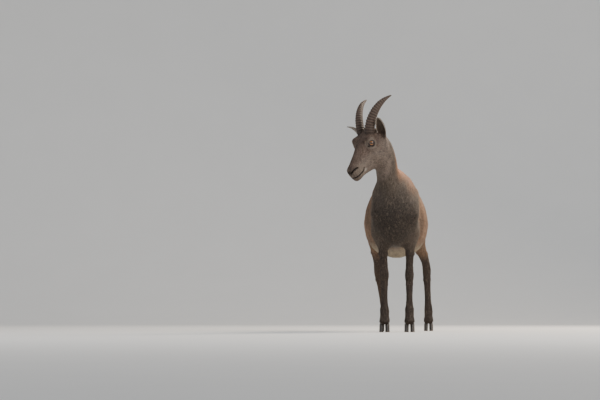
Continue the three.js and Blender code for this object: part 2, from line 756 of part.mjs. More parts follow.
const TAIL_ROOT = at(RUMP_X, 404, 700);
const tail = new Tube(at(0, 1, 0), [
  { at: TAIL_ROOT.clone().add(at(0, -20, 0)), side: 20, top: 14, low: 14 },
  { at: TAIL_ROOT.clone().add(at(0, 16, -8)), side: 21, top: 13, low: 12 },
  { at: TAIL_ROOT.clone().add(at(0, 42, -38)), side: 20, top: 10, low: 9 },
  { at: TAIL_ROOT.clone().add(at(1, 56, -0.55 * TAIL_LENGTH)), side: 18, top: 9, low: 8 },
  { at: TAIL_ROOT.clone().add(at(2, 62, -0.85 * TAIL_LENGTH)), side: 12, top: 7, low: 6 },
  { at: TAIL_ROOT.clone().add(at(2, 64, -TAIL_LENGTH)), side: 4, top: 3, low: 3 },
]);
const tailSolid = tubeSolid(tail, { around: 12, along: 10 });

// Putting it together

const sides = { left: 1, right: -1 };
const EAR_LIFT = {
  left: { out: 0.26, back: 0.02, up: 0.96 },
  right: { out: 0.62, back: 0.1, up: 0.76 },
};

const horns = {};
const eyes = {};
const ears = {};
let headSolid = headShell({ skin: headSkin, limit: 34 });
headSolid = headSolid.subtract(mouthBand().subtract(headShell({ around: 16, along: 17, grow: -LIP_DEPTH })));
for (const [name, side] of Object.entries(sides)) {
  headSolid = headSolid.add(lids(side));
  horns[name] = horn(side);
  eyes[name] = eyeBall(side);
  ears[name] = ear(side, EAR_LIFT[name]);
}

let flesh = join([trunkSolid, neckSolid, headSolid, tailSolid, ...Object.values(LEGS).map(legSolid)]);
const hooves = {};
for (const [name, leg] of Object.entries(LEGS)) {
  const inward = name.endsWith("left") ? -1 : 1;
  for (const [place, outward] of [
    ["outer", -inward],
    ["inner", inward],
  ]) {
    hooves[`${name}_hoof_${place}`] = claw(leg, outward);
    hooves[`${name}_dewclaw_${place}`] = dewclaw(leg, outward);
    flesh = flesh.subtract(claw(leg, outward, GAP)).subtract(dewclaw(leg, outward, GAP));
  }
}
for (const [name, side] of Object.entries(sides)) {
  flesh = flesh
    .subtract(horn(side, GAP))
    .subtract(eyeBall(side, GAP))
    .subtract(nostril(side));
  EAR_SHIFTS.forEach((shift) => {
    flesh = flesh.subtract(ear(side, EAR_LIFT[name], shift));
  });
}

// Thin cuts part the body where its parts have names.
const cuts = [
  cut(at(-8, -322, 646), at(0, -0.81, 0.56), 320, 420), // neck from chest
  cut(onHead(0, 74, -62), headWay(0, 0.78, -0.63), 420, 420), // head from neck
  cut(at(0, -78, 560), at(0, 1, 0), 420, 520), // chest from belly
  cut(at(0, 146, 560), at(0, 1, 0), 420, 520), // belly from hindquarters
  cut(TAIL_ROOT.clone().add(at(0, 32, -25)), at(0, 0.65, -0.76), 90, 60), // tail from hindquarters
];
const stumps = { foreleg: "forearm", hindleg: "gaskin" };
const inside = {
  neck: at(-26, -344, 738),
  head: onHead(0, 20, -40),
  chest: at(0, -200, 560),
  belly: at(0, 30, 560),
  hindquarters: at(RUMP_X, 250, 600),
  tail: tail.centre(tail.length * 0.6),
};
for (const [name, leg] of Object.entries(LEGS)) {
  const kind = name.split("_")[0];
  const point = (z) => {
    for (let s = 0; s <= leg.tube.length; s += 1) if (leg.tube.z(s) <= z) return leg.tube.centre(s);
    return leg.tube.centre(leg.tube.length);
  };
  const upper = leg.fore ? 376 : 390;
  const joint = leg.fore ? 230 : 260;
  const fetlock = 124;
  cuts.push(cut(point(upper), leg.fore ? UP : at(0, -0.5, 0.86), 100, leg.fore ? 120 : 130));
  cuts.push(cut(point(joint), UP, 70, 90));
  cuts.push(cut(point(fetlock), UP, 70, 90));
  inside[`${name}_${stumps[kind]}`] = point(leg.fore ? 330 : 340);
  inside[`${name}_cannon`] = point(180);
  inside[`${name}_pastern`] = point(90);
}
const pieces = cuts.reduce((body, slab) => body.subtract(slab), flesh).decompose();

const holds = (piece, p) => piece.intersect(box(p, 3, 3, 3)).volume() > 0;
const solids = {};
for (const [name, p] of Object.entries(inside)) {
  const piece = pieces.find((candidate) => holds(candidate, p));
  if (!piece) throw new Error(`no piece of flesh holds ${name}`);
  solids[name] = piece;
}
for (const name of Object.keys(sides)) {
  solids[`horn_${name}`] = horns[name];
  solids[`eye_${name}`] = eyes[name];
  solids[`ear_${name}`] = ears[name];
}
Object.assign(solids, hooves);

// Materials

const finish = (color, roughness) =>
  new THREE.MeshStandardMaterial({ color, roughness, metalness: 0 });
const MATERIALS = {
  coat: finish(0x6b5a4c, 0.9),
  face: finish(0x5b4f48, 0.9),
  dark: finish(0x2f2824, 0.9),
  horn: finish(0x5a4a40, 0.65),
  hoof: finish(0x25211f, 0.6),
  eye: finish(0xa5601c, 0.15),
};
function materialOf(name) {
  if (name.startsWith("horn")) return MATERIALS.horn;
  if (name.startsWith("eye")) return MATERIALS.eye;
  if (name.includes("hoof") || name.includes("dewclaw")) return MATERIALS.hoof;
  if (name.includes("leg") || name === "tail") return MATERIALS.dark;
  if (name === "head" || name === "neck" || name.startsWith("ear")) return MATERIALS.face;
  return MATERIALS.coat;
}

const ibex = new THREE.Group();
const extent = new THREE.Box3();
for (const [name, solid] of Object.entries(solids)) {
  const mesh = new THREE.Mesh(toGeometry(largest(solid)), materialOf(name));
  mesh.name = name;
  ibex.add(mesh);
  extent.expandByObject(mesh);
}
// The frame's origin is the middle of the footprint, on the floor.
const middle = extent.getCenter(new THREE.Vector3());
ibex.position.set(-middle.x, -middle.y, -extent.min.z);

export default ibex;
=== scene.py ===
"""An adult female alpine ibex at life size, standing, with its head turned to its right."""

import math

import bmesh
import bpy
import numpy as np
from mathutils import Matrix, Vector
from mathutils.bvhtree import BVHTree


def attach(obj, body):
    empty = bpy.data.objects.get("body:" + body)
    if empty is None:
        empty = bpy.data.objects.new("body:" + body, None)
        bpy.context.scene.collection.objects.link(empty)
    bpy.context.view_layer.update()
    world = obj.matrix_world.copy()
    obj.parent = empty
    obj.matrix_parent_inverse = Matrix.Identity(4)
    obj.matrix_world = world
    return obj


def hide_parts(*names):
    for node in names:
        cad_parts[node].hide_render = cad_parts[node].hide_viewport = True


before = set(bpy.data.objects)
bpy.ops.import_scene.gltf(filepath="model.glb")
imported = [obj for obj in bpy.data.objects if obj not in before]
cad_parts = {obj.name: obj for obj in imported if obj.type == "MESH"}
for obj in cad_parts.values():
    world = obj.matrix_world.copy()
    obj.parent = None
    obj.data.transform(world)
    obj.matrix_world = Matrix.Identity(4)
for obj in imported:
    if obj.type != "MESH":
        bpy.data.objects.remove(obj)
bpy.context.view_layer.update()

bl_info = {
    "name": "Alpine Ibex",
    "version": (1, 0, 0),
    "blender": (4, 5, 0),
    "location": "View3D > Sidebar > Ibex",
    "description": "Dresses the ibex's solids with skin, coat, eyes, horns and hooves",
    "category": "Object",
}

MM = 0.001
SIDES = {"left": 1, "right": -1}

# The head's own frame: x to its left, y back along the palate, z up, in millimetres from the
# point midway between the eyes.
HEAD_AT = Vector((-128.96, -418.53, 862.0))
HEAD_TURN = (
    Matrix.Rotation(math.radians(-42), 3, "Z")
    @ Matrix.Rotation(math.radians(35), 3, "X")
    @ Matrix.Rotation(math.radians(-5), 3, "Y")
)
EYE_RADIUS = 17.0
EYE_AT = (45, 4, -5)
EYE_WAY = (0.83, -0.5, 0.22)
EYE_BARE = 3.4
LID_HALF_WIDTH, LID_HALF_HEIGHT = 14.4, 10.4
LID_CORNER, LID_DROOP = 2.6, 1.2
LID_UPPER, LID_LOWER = 1.9, 1.6
NOSE_TIP, NOSE_PAD = (0, -155, -62), (0, -160, -62)
EAR_ROOT = (56, 76, -26)
EAR_HEIGHT = 112
EAR_WAYS = {"left": (0.26, 0.02, 0.96), "right": (-0.62, 0.10, 0.76)}

# The left nostril's slit and the way it opens, and the mouth's line and corner as y and z.
NOSTRIL_WAY = np.array((0.60, -0.76, 0.24))
NOSTRIL = [(7, -160, -62), (10.5, -151, -60), (17, -144, -56), (24, -136, -53), (30, -128, -54)]
MOUTH_CORNER, MOUTH_PATCH = (-86, -90), (12, 8)
MOUTH_LINE = [(-170, -90), (-147, -90), (-124, -88), (-106, -86.5), (-96, -82), (-91, -76)]

# The ear's section at shares of its height: its radius, how far round it closes in degrees, and
# its wall.
EAR_KNOTS = [0, 0.16, 0.4, 0.65, 0.86, 1]
EAR_RADII = [13, 17, 22, 21, 15, 4]
EAR_SPREADS = [150, 128, 98, 78, 62, 40]
WALL_KNOTS, EAR_WALLS = [0, 0.3, 1], [5, 3.4, 2]

# The horns: how they rise, bend and splay, their section at the root, how far the tips lie to the
# left, the bare socket, and where along them the rings end and the tip is rounded.
HORN_ROOT = (25, 43, 24)
HORN_RISE, HORN_BEND, HORN_SPLAY = math.radians(62), math.radians(75), 0.35
HORN_DEEP, HORN_WIDE = 25, 18.5
HORN_SHIFT = 7.0
HORN_WAY, SOCKET_RADIUS = (0.17, 0.47, 0.88), 19.5
HORN_ROWS, HORN_AROUND = 260, 44
RINGS_FROM, RINGS_TO = 0.02, 0.86
TIP_FROM = 0.965

# Low forms of the face on its left side: a place, how far it reaches, and its height.
FACE_FORMS = [
    ((50, 6, 16), 20, 3.0),
    ((42, 24, 14), 18, 1.6),
    ((38, -30, -16), 18, -3.0),
    ((56, 4, -28), 16, 1.8),
    ((58, 34, -30), 20, 1.8),
    ((50, 2, -50), 24, -1.6),
    ((40, -46, -52), 26, -1.8),
    ((24, -88, -58), 24, -1.6),
    ((26, -128, -78), 20, 1.8),
    ((18, -132, -100), 16, 1.0),
    ((54, 40, -70), 30, 2.2),
]

LEGS = [f"{kind}leg_{side}" for kind in ("fore", "hind") for side in SIDES]
TRUNK = ["neck", "chest", "belly", "hindquarters", "tail"]
LEG_FLESH = [
    f"{leg}_{part}"
    for leg in LEGS
    for part in ("forearm" if leg.startswith("fore") else "gaskin", "cannon", "pastern")
]
CLAWS = [f"{claw}_{place}" for claw in ("hoof", "dewclaw") for place in ("outer", "inner")]
EARS = [f"ear_{side}" for side in SIDES]
FLESH = ["head", *EARS, *TRUNK, *LEG_FLESH]

# The flesh is swollen a little, joined on a fine grid, smoothed and thinned out again. No tuft
# grows below the top of the hooves.
SWELL, EAR_SWELL = 0.4 * MM, 0.8 * MM
GRID = 2.1 * MM
SMOOTHINGS = 150
KEPT_SHARE = 0.24
HOOF_TOP = 0.052

# For each part of the body: how much its skin is smoothed, how far the skin lies below the
# coat's surface, and the length and width of a tuft, all in millimetres but the first.
PARTS = {
    "head": (0.02, 2.0, 8.5, 2.3),
    "ear": (0.02, 0.4, 8.0, 2.0),
    "neck": (0.42, 6.0, 20.0, 4.2),
    "chest": (0.5, 6.5, 21.0, 4.6),
    "belly": (0.5, 6.5, 23.0, 4.8),
    "hindquarters": (0.5, 6.5, 22.0, 4.8),
    "tail": (0.1, 5.5, 32.0, 5.0),
    "forearm": (0.14, 4.0, 15.0, 4.0),
    "gaskin": (0.16, 4.0, 16.0, 4.2),
    "cannon": (0.05, 2.2, 11.0, 3.2),
    "pastern": (0.05, 2.0, 9.5, 3.0),
}

# Which way the hair points, and the places where it does so. Head places are in the head's frame
# and lie on its middle or on both its sides. The others are in millimetres from the origin.
HEAD_LIE = [
    ((0, 1, 0.2), [(0, -125, -30)]),
    ((0, 1, 0.15), [(0, -60, 5), (0, 20, 22)]),
    ((0, 0.8, -0.6), [(0, 100, 0), (0, -118, -116)]),
    ((0, 1, -0.3), [(0, -20, -122)]),
    ((0.1, 0.85, -0.5), [(46, 20, -62)]),
    ((0.15, 0.9, -0.25), [(28, -118, -70)]),
    ((0.1, 1, -0.25), [(30, -60, -60)]),
    ((0.4, 0.9, 0.1), [(56, 52, -20)]),
    ((0.3, 0.8, 0.4), [(60, -12, 4)]),
]
BODY_LIE = [
    ((0, 1, -0.1), [(17, -100, 765)]),
    ((0, 1, -0.02), [(30, 150, 745)]),
    ((0, 0.85, -0.5), [(37, 370, 740)]),
    ((0, 0.3, -1), [(37, 465, 640)]),
    ((0, 1, -0.4), [(175, 100, 580), (-110, 100, 580)]),
    ((-0.1, 1, -0.25), [(160, 60, 440)]),
    ((0.1, 1, -0.25), [(-100, 60, 440)]),
    ((0, 1, 0.05), [(30, 80, 370)]),
    ((0, 1, 0.25), [(30, 230, 400)]),
    ((0, 0.55, -0.85), [(125, -170, 600), (-90, -170, 600)]),
    ((0, 0.8, -0.6), [(15, -260, 405)]),
    ((0.05, -0.1, -1), [(17, -300, 640)]),
    ((0.35, 0.1, -1), [(-60, -390, 720)]),
    ((0.3, 0.2, -1), [(-100, -400, 790)]),
    ((0.25, 0.5, -0.85), [(-20, -280, 800)]),
    ((0.2, 0.45, -0.9), [(-60, -310, 870)]),
    ((0, 0.7, -0.75), [(130, 350, 620), (-60, 350, 620)]),
    ((0, 0.35, -1), [(140, 300, 450), (-70, 300, 450)]),
    ((0, 0.2, -1), [(17, -340, 500), (90, -220, 380), (-40, -230, 380)]),
    ((0, 0.15, -1), [(83, -230, 150), (-33, -240, 150), (175, 350, 200)]),
    ((0, 0.15, -1), [(-40, 380, 200), (38, 490, 620)]),
]

# Patches of colour on the body, in metres: a place, the reach along x, y and z, and where the
# soft edge begins and ends, as shares of the reach.
BREAST_PATCH = ((0.012, -0.36, 0.47), (0.17, 0.17, 0.20), 0.4, 1.15)
# The nape's patch is partly reddish coat and partly painted rim light along the neck's rear edge;
# the shoulder's patch is painted rim light along the shoulder's edge.
NAPE_AND_RIM_LIGHT_PATCH = ((0.012, -0.25, 0.80), (0.066, 0.115, 0.20), 0.6, 1.1)
SHOULDER_RIM_LIGHT_PATCH = ((0.075, -0.22, 0.66), (0.05, 0.10, 0.12), 0.3, 1.1)

# The same on the head, in its own millimetres. Those of the list also have a strength and a
# colour, lie on the middle or on both sides, and cover those before them.
HEAD_PATCH = ((0, -30, -50), (170, 170, 170), 0.75, 0.95)
MUZZLE_PATCH = ((20, -112, -78), (34, 34, 30), 0.5, 1.2)
FACE_PATCHES = [
    ((0, -160, -64), (13, 14, 16), 0.6, 1.2, 0.7, "leather"),
    ((0, -125, -108), (26, 30, 20), 0.5, 1.1, 0.5, "face_dark"),
    (EYE_AT, (30, 30, 30), 0.75, 1.15, 0.34, "eye_ring"),
    (EYE_AT, (19.5, 19.5, 19.5), 0.93, 1.05, 1.0, "leather"),
    ((47, -20, -9), (9, 9, 6), 0.4, 1.2, 0.85, "leather"),
    ((52, 34, -52), (8, 8, 8), 0.3, 1.2, 0.85, "spot"),
    ((53, 24, -30), (6, 6, 6), 0.3, 1.2, 0.85, "spot"),
]

# Where one colour gives way to the next: metres on the body, millimetres on the head.
BANDS = {
    "spine": (0.70, 0.76),
    "belly_top": (0.43, 0.385),
    "belly_front": (-0.2, -0.05),
    "belly_rear": (0.30, 0.20),
    "belly_low": (0.30, 0.335),
    "neck": (-0.05, -0.28),
    "leg": (0.44, 0.33),
    "leg_rear": (0.35, 0.42),
    "leg_low": (0.10, 0.2),
    "face": (-52.0, -12.0),
    "head_end": (150.0, 105.0),
    "lips_rear": (-88.0, -96.0),
    "lips_low": (-93.5, -90.5),
    "lips_high": (-84.5, -87.5),
}

# Groups of the coat: what each covers, how many tufts it has, and its slot.
COATS = {
    "coat_head": (["head"], 19000, "face_coat"),
    "coat_ears": (EARS, 7000, "face_coat"),
    "coat_neck": (["neck"], 17000, "face_coat"),
    "coat_chest": (["chest"], 19000, "body_coat"),
    "coat_barrel": (["belly"], 16000, "body_coat"),
    "coat_haunches": (["hindquarters"], 19000, "body_coat"),
    "coat_tail": (["tail"], 3500, "leg_coat"),
    "coat_forelegs": ([n for n in LEG_FLESH if n.startswith("fore")], 14000, "leg_coat"),
    "coat_hindlegs": ([n for n in LEG_FLESH if n.startswith("hind")], 16000, "leg_coat"),
}

# A tuft's seven points: its faces, how far along the tuft each point lies, and its place in the
# tuft's patch of the unfolded skin.
TUFT_FACES = [(0, 1, 2), (0, 3, 4, 1), (1, 4, 5, 2), (2, 5, 3, 0), (3, 6, 4), (4, 6, 5), (5, 6, 3)]
TUFT_ALONG = [0, 0, 0.1, 0.5, 0.5, 0.6, 1.0]
TUFT_UV = [(0, 0), (0.66, 0), (0.33, 0), (0, 0.5), (0.66, 0.5), (0.33, 0.5), (0.33, 1)]
UV_PATCH = 0.003

# The studio, in metres: where the floor turns up behind, the lamps with their place, size, power
# and colour, and the camera.
FLOOR_HALF, SWEEP_FROM, SWEEP_RADIUS = 24, 5.0, 3.0
AIM = Vector((0.0, 0.0, 0.55))
LAMPS = {
    "key": ((3.4, -3.0, 3.6), 2.2, 190, (1.0, 0.96, 0.9)),
    "fill": ((-3.6, -3.0, 2.0), 3.0, 40, (0.92, 0.96, 1.0)),
    "rim": ((2.6, 2.2, 3.2), 1.4, 250, (1.0, 0.86, 0.70)),
}
CAMERA_AT = (0.017, -11.2185, 0.110)
CAMERA_PITCH, CAMERA_TURN = 0.0458, 0.0402

made = {}


# Places


def on_head(point):
    """A point of the head's frame, in metres from the model's origin."""
    return (HEAD_AT + HEAD_TURN @ Vector(point)) * MM


def head_way(way):
    """A direction of the head's frame, turned with the head."""
    return (HEAD_TURN @ Vector(way)).normalized()


def mirrored(point, side):
    """A point of the left side, on the side that is asked for."""
    return (point[0] * side, point[1], point[2])


def smooth(start, end, x):
    """0 before start, 1 past end and a smooth step between, in either order."""
    t = np.clip((x - start) / (end - start), 0, 1)
    return t * t * (3 - 2 * t)


def unit(rows):
    """Directions, each brought to a length of one."""
    return rows / (np.linalg.norm(rows, axis=1)[:, None] + 1e-9)


def distance(points, place):
    """How far each point is from a place."""
    return np.linalg.norm(points - np.array(place), axis=1)


# Shader nodes


def maths(operation, swapped=False):
    """An operator for wires that adds a Math node."""

    def added(wire, other):
        first, second = (other, wire) if swapped else (wire, other)
        return wire.recipe.wire(0, "Math", {"operation": operation}, {0: first, 1: second})

    return added


class Wire:
    """A socket of a recipe. Sums written on it become Math nodes."""

    def __init__(self, recipe, socket):
        self.recipe, self.socket = recipe, socket

    __add__, __radd__ = maths("ADD"), maths("ADD", swapped=True)
    __sub__, __rsub__ = maths("SUBTRACT"), maths("SUBTRACT", swapped=True)
    __mul__, __rmul__ = maths("MULTIPLY"), maths("MULTIPLY", swapped=True)
    __truediv__, __rtruediv__ = maths("DIVIDE"), maths("DIVIDE", swapped=True)
    __pow__, __rpow__ = maths("POWER"), maths("POWER", swapped=True)


class Recipe:
    """A material under construction."""

    def __init__(self, name):
        self.material = bpy.data.materials.new(name)
        self.material.use_nodes = True
        self.tree = self.material.node_tree
        self.tree.nodes.clear()
        self.shader = self.node("BsdfPrincipled", {}, {})
        output = self.node("OutputMaterial", {}, {})
        self.tree.links.new(self.shader.outputs[0], output.inputs[0])
        self.at = self.wire("Object", "TexCoord", {}, {})

    def node(self, kind, settings, inputs):
        """A node of any kind. Its settings come first, then its sockets' values or links."""
        added = self.tree.nodes.new("ShaderNode" + kind)
        for name, value in settings.items():
            setattr(added, name, value)
        for name, value in inputs.items():
            self.set(added.inputs[name], value)
        return added

    def wire(self, output, kind, settings, inputs):
        """One output of a new node."""
        return Wire(self, self.node(kind, settings, inputs).outputs[output])

    def set(self, socket, value):
        """Links a wire to a socket, or gives it a value."""
        if isinstance(value, Wire):
            self.tree.links.new(value.socket, socket)
        elif socket.type == "RGBA" and len(value) == 3:
            socket.default_value = (*value, 1)
        else:
            socket.default_value = value

    def finish(self, **inputs):
        """Sets the shader's sockets by name, with _ for a space, and returns the material."""
        for name, value in inputs.items():
            self.set(self.shader.inputs[name.replace("_", " ")], value)
        return self.material

    def vector(self, operation, first, second):
        """One step of vector maths."""
        output = "Value" if operation in ("DOT_PRODUCT", "LENGTH") else "Vector"
        return self.wire(output, "VectorMath", {"operation": operation}, {0: first, 1: second})

    def mix(self, factor, first, second, blend="MIX"):
        """Two colours mixed by a factor."""
        settings = {"data_type": "RGBA", "blend_type": blend}
        return self.wire(2, "Mix", settings, {0: factor, 6: first, 7: second})

    def ease(self, value, low, high):
        """0 at low, 1 at high, smooth between, in either order."""
        inputs = {"Value": value, "From Min": low, "From Max": high}
        return self.wire("Result", "MapRange", {"interpolation_type": "SMOOTHSTEP"}, inputs)

    def noise(self, scale, detail=3.0, rough=0.6, at=None):
        """Smooth noise from about 0.3 to 0.7, over the object's own coordinates."""
        inputs = {"Vector": at or self.at, "Scale": scale, "Detail": detail, "Roughness": rough}
        return self.wire("Fac", "TexNoise", {}, inputs)

    def streaks(self, scales, detail, rough):
        """Noise drawn out along an axis, with a scale for each axis."""
        return self.noise(1.0, detail, rough, self.vector("MULTIPLY", self.at, scales))

    def blot(self, centre, radii, inner, outer):
        """1 inside an egg-shaped region and 0 outside it, with a soft edge. Metres."""
        off = self.vector("SUBTRACT", self.at, tuple(centre))
        off = self.vector("DIVIDE", off, tuple(radii))
        return self.ease(self.vector("LENGTH", off, (0, 0, 0)), outer, inner)

    def attribute(self, name):
        """A number stored on the piece's points."""
        return self.wire("Fac", "Attribute", {"attribute_name": name}, {})

    def axes(self):
        """The object's own x, y and z."""
        split = self.node("SeparateXYZ", {}, {0: self.at})
        return [Wire(self, socket) for socket in split.outputs]

    def bump(self, height, strength, distance):
        """A normal roughened by a height."""
        inputs = {"Height": height, "Strength": strength, "Distance": distance}
        return self.wire("Normal", "Bump", {}, inputs)


def along_head(recipe):
    """How far back and how far up a point lies in the head's frame, in millimetres."""
    off = recipe.vector("SUBTRACT", recipe.at, tuple(HEAD_AT * MM))
    back, up = (tuple(HEAD_TURN.col[i]) for i in (1, 2))
    return [recipe.vector("DOT_PRODUCT", off, way) * 1000.0 for way in (back, up)]


def markings(recipe, look):
    """The coat's colour everywhere, the same for skin and tufts."""
    mix, ease, noise = recipe.mix, recipe.ease, recipe.noise
    _, y, z = recipe.axes()
    hy, hz = along_head(recipe)

    def band(value, name):
        return ease(value, *BANDS[name])

    def head_blot(side, place, reach, inner, outer):
        return recipe.blot(on_head(mirrored(place, side)), Vector(reach) * MM, inner, outer)

    wander = noise(9.0, 4.0) - 0.5
    colour = mix(ease(wander, -0.12, 0.14), look.flank, look.flank_light)
    # the saddle is a little darker along the spine
    colour = mix(band(z + wander * 0.03, "spine") * 0.45, colour, look.spine)
    # belly and the inside of the thighs
    belly = band(z + wander * 0.05, "belly_top") * band(y, "belly_front")
    belly = belly * band(y, "belly_rear") * band(z, "belly_low")
    colour = mix(belly, colour, look.belly)
    # neck, breast and shoulders are grizzled grey, near black low on the breast
    front = band(y + wander * 0.3 + (z - 0.6) * 0.25, "neck")
    colour = mix(front * 0.9, colour, look.neck)
    colour = mix(recipe.blot(*BREAST_PATCH) * 0.85, colour, look.breast)
    streak = recipe.streaks((75.0, 45.0, 9.0), 4.0, 0.7)
    # the nape's reddish coat, and painted rim light in the same tan along the neck's rear edge and
    # the shoulder's edge
    nape_and_rim_light = recipe.blot(*NAPE_AND_RIM_LIGHT_PATCH) + recipe.blot(*SHOULDER_RIM_LIGHT_PATCH) * 0.6
    colour = mix(nape_and_rim_light * (0.58 + ease(streak, 0.35, 0.65) * 0.4), colour, look.nape_and_rim_light)
    colour = mix(ease(streak, 0.5, 0.32) * 0.4, colour, look.leg)
    # legs blackish with tan rear edges
    leg = band(z + wander * 0.06, "leg") * (1.0 - belly * 0.8)
    colour = mix(leg, colour, look.leg)
    rear = band(y, "leg_rear") * band(z, "leg_low") * leg
    colour = mix(rear * 0.5, colour, look.flank)
    # the face, darker from the forehead to the nose
    face = mix(noise(40.0) * 0.6, look.face, look.face_light)
    face = mix(band(hz - hy * 0.12, "face") * 0.75, face, look.face_dark)
    muzzle = head_blot(1, *MUZZLE_PATCH) + head_blot(-1, *MUZZLE_PATCH)
    face = mix(muzzle * 0.75, face, look.muzzle)
    for place, reach, inner, outer, strength, tint in FACE_PATCHES:
        for side in SIDES.values() if place[0] else (1,):
            mark = head_blot(side, place, reach, inner, outer)
            face = mix(mark * strength, face, getattr(look, tint))
    # a thin dark line where the lips meet
    mouth = band(hy, "lips_rear") * band(hz, "lips_low") * band(hz, "lips_high")
    face = mix(mouth * 0.7, face, look.leather)
    on_face = head_blot(1, *HEAD_PATCH) * band(hy - hz * 0.6, "head_end")
    colour = mix(on_face, colour, face)
    colour = mix(recipe.attribute("pale") * 0.8, colour, look.eye_ring)
    # locks of the coat that lie lighter and darker, a centimetre or so across
    lock = recipe.streaks((130.0, 95.0, 48.0), 3.0, 0.65)
    colour = mix(ease(lock, 0.52, 0.72) * 0.17, colour, look.fleck)
    colour = mix(ease(lock, 0.48, 0.32) * 0.42, colour, look.breast)
    # grizzle: fine light and dark flecks
    fleck = noise(420.0, 2.0, 0.7)
    colour = mix(ease(fleck, 0.5, 0.72) * 0.35, colour, look.fleck)
    colour = mix(ease(fleck, 0.48, 0.3) * 0.4, colour, look.leg)
    return mix(recipe.attribute("dark") * 0.92, colour, look.leather)


def skin_finish(look):
    """Short flat fur, seen between the tufts and where it is too short to stand."""
    recipe = Recipe("short_fur")
    colour = markings(recipe, look)
    colour = recipe.mix(1.0, colour, (0.62, 0.6, 0.58), "MULTIPLY")
    fur = recipe.noise(700.0, 3.0, 0.7) + recipe.noise(180.0, 2.0) * 0.6
    rough = recipe.ease(recipe.noise(60.0), 0.2, 0.8) * 0.2 + 0.72
    normal = recipe.bump(fur, 0.5, 0.0012)
    return recipe.finish(
        Base_Color=colour, Roughness=rough, Normal=normal, Specular_IOR_Level=0.2
    )


def tuft_finish(look):
    """The tufts of the coat, darker at the root and lighter at the tip."""
    recipe = Recipe("coat_tufts")
    colour = markings(recipe, look)
    tone, along = recipe.attribute("tone"), recipe.attribute("along")
    shade = (tone * 0.5 + 0.78) * (along * 0.45 + 0.72)
    grey = recipe.wire(0, "CombineColor", {}, {0: shade, 1: shade, 2: shade})
    colour = recipe.mix(1.0, colour, grey, "MULTIPLY")
    hairs = recipe.noise(1500.0, 1.0)
    return recipe.finish(
        Base_Color=colour,
        Roughness=recipe.ease(tone, 0.0, 1.0) * 0.2 + 0.6,
        Normal=recipe.bump(hairs, 0.35, 0.0005),
        Specular_IOR_Level=0.25,
    )


def horn_finish(look):
    """Dry ringed horn, dark in the furrows and worn pale on the ridges."""
    recipe = Recipe("ringed_horn")
    ridge, grain = recipe.attribute("ridge"), recipe.attribute("grain")
    lines = recipe.streaks((260.0, 260.0, 60.0), 4.0, 0.65)
    colour = recipe.mix(recipe.ease(ridge, 0.1, 0.75), look.horn_dark, look.horn)
    colour = recipe.mix(recipe.ease(lines, 0.45, 0.72) * 0.35, colour, look.horn_light)
    colour = recipe.mix(recipe.ease(grain, 0.25, 0.0) * 0.6, colour, look.horn_dark)
    height = ridge * 0.4 + lines + recipe.noise(900.0, 3.0) * 0.5
    return recipe.finish(
        Base_Color=colour,
        Roughness=0.72 - recipe.ease(ridge, 0.3, 1.0) * 0.2,
        Normal=recipe.bump(height, 0.6, 0.0011),
        Specular_IOR_Level=0.35,
    )


def hoof_finish(look):
    """Dark hoof horn with growth lines, scuffed and dusty at the edge that meets the ground."""
    recipe = Recipe("hoof_horn")
    z = recipe.axes()[2]
    bands = recipe.streaks((50.0, 50.0, 620.0), 3.0, 0.6)
    colour = recipe.mix(recipe.ease(bands, 0.38, 0.62), look.hoof, look.hoof_light)
    worn = recipe.ease(z + recipe.noise(120.0) * 0.012, 0.014, 0.004)
    colour = recipe.mix(worn * 0.7, colour, look.horn_light)
    return recipe.finish(
        Base_Color=colour,
        Roughness=0.42 + worn * 0.35,
        Normal=recipe.bump(bands + recipe.noise(700.0) * 0.4, 0.4, 0.0008),
    )


def eye_finish(name, side, look):
    """Amber iris with fine spokes, a dark rim and a level pupil, wet all over."""
    recipe = Recipe(f"eye_{name}")
    _, up, across = eye_axes(side)
    off = recipe.vector("SUBTRACT", recipe.at, tuple(on_head(mirrored(EYE_AT, side))))
    u = recipe.vector("DOT_PRODUCT", off, tuple(across)) * 1000.0
    v = recipe.vector("DOT_PRODUCT", off, tuple(up)) * 1000.0
    radius = (u * u + v * v) ** 0.5
    around = {0: u / (radius + 0.01), 1: v / (radius + 0.01), 2: radius * 0.08}
    spokes = recipe.noise(9.0, 4.0, 0.7, recipe.wire(0, "CombineXYZ", {}, around))
    iris = recipe.mix(recipe.ease(spokes, 0.35, 0.7), look.iris, look.iris_light)
    iris = recipe.mix(recipe.ease(radius, 7.0, 10.4), iris, look.iris_dark)
    colour = recipe.mix(recipe.ease(radius, 10.2, 11.4), iris, look.eye_white)
    slot = ((u / 8.2) ** 2.0) ** 2.0 + ((v / 3.7) ** 2.0) ** 2.0
    colour = recipe.mix(recipe.ease(slot, 1.15, 0.75), colour, (0.004, 0.004, 0.005))
    return recipe.finish(
        Base_Color=colour,
        Roughness=0.3,
        Coat_Weight=1.0,
        Coat_Roughness=0.03,
        Specular_IOR_Level=0.2,
    )


def leather_finish(look):
    """Bare wet skin of the lid's edge."""
    recipe = Recipe("lid_leather")
    pores = recipe.noise(1200.0, 2.0)
    colour = recipe.mix(recipe.ease(pores, 0.4, 0.65) * 0.5, look.leather, (0.03, 0.022, 0.018))
    return recipe.finish(
        Base_Color=colour, Roughness=0.34 + pores * 0.15, Normal=recipe.bump(pores, 0.3, 0.0004)
    )


# Making pieces


def piece(name, mesh, material, slot, *replaced):
    """Puts a mesh into the scene as a piece of the ibex."""
    obj = bpy.data.objects.new(name, mesh)
    bpy.context.scene.collection.objects.link(obj)
    mesh.materials.clear()
    mesh.materials.append(material)
    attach(obj, "root")
    if replaced:
        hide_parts(*replaced)
    return obj


def to_mesh(name, bm, recalc=True):
    """Closes a bmesh into a smooth mesh with its faces outwards."""
    if recalc:
        bmesh.ops.recalc_face_normals(bm, faces=bm.faces)
    mesh = bpy.data.meshes.new(name)
    bm.to_mesh(mesh)
    bm.free()
    mesh.shade_smooth()
    return mesh


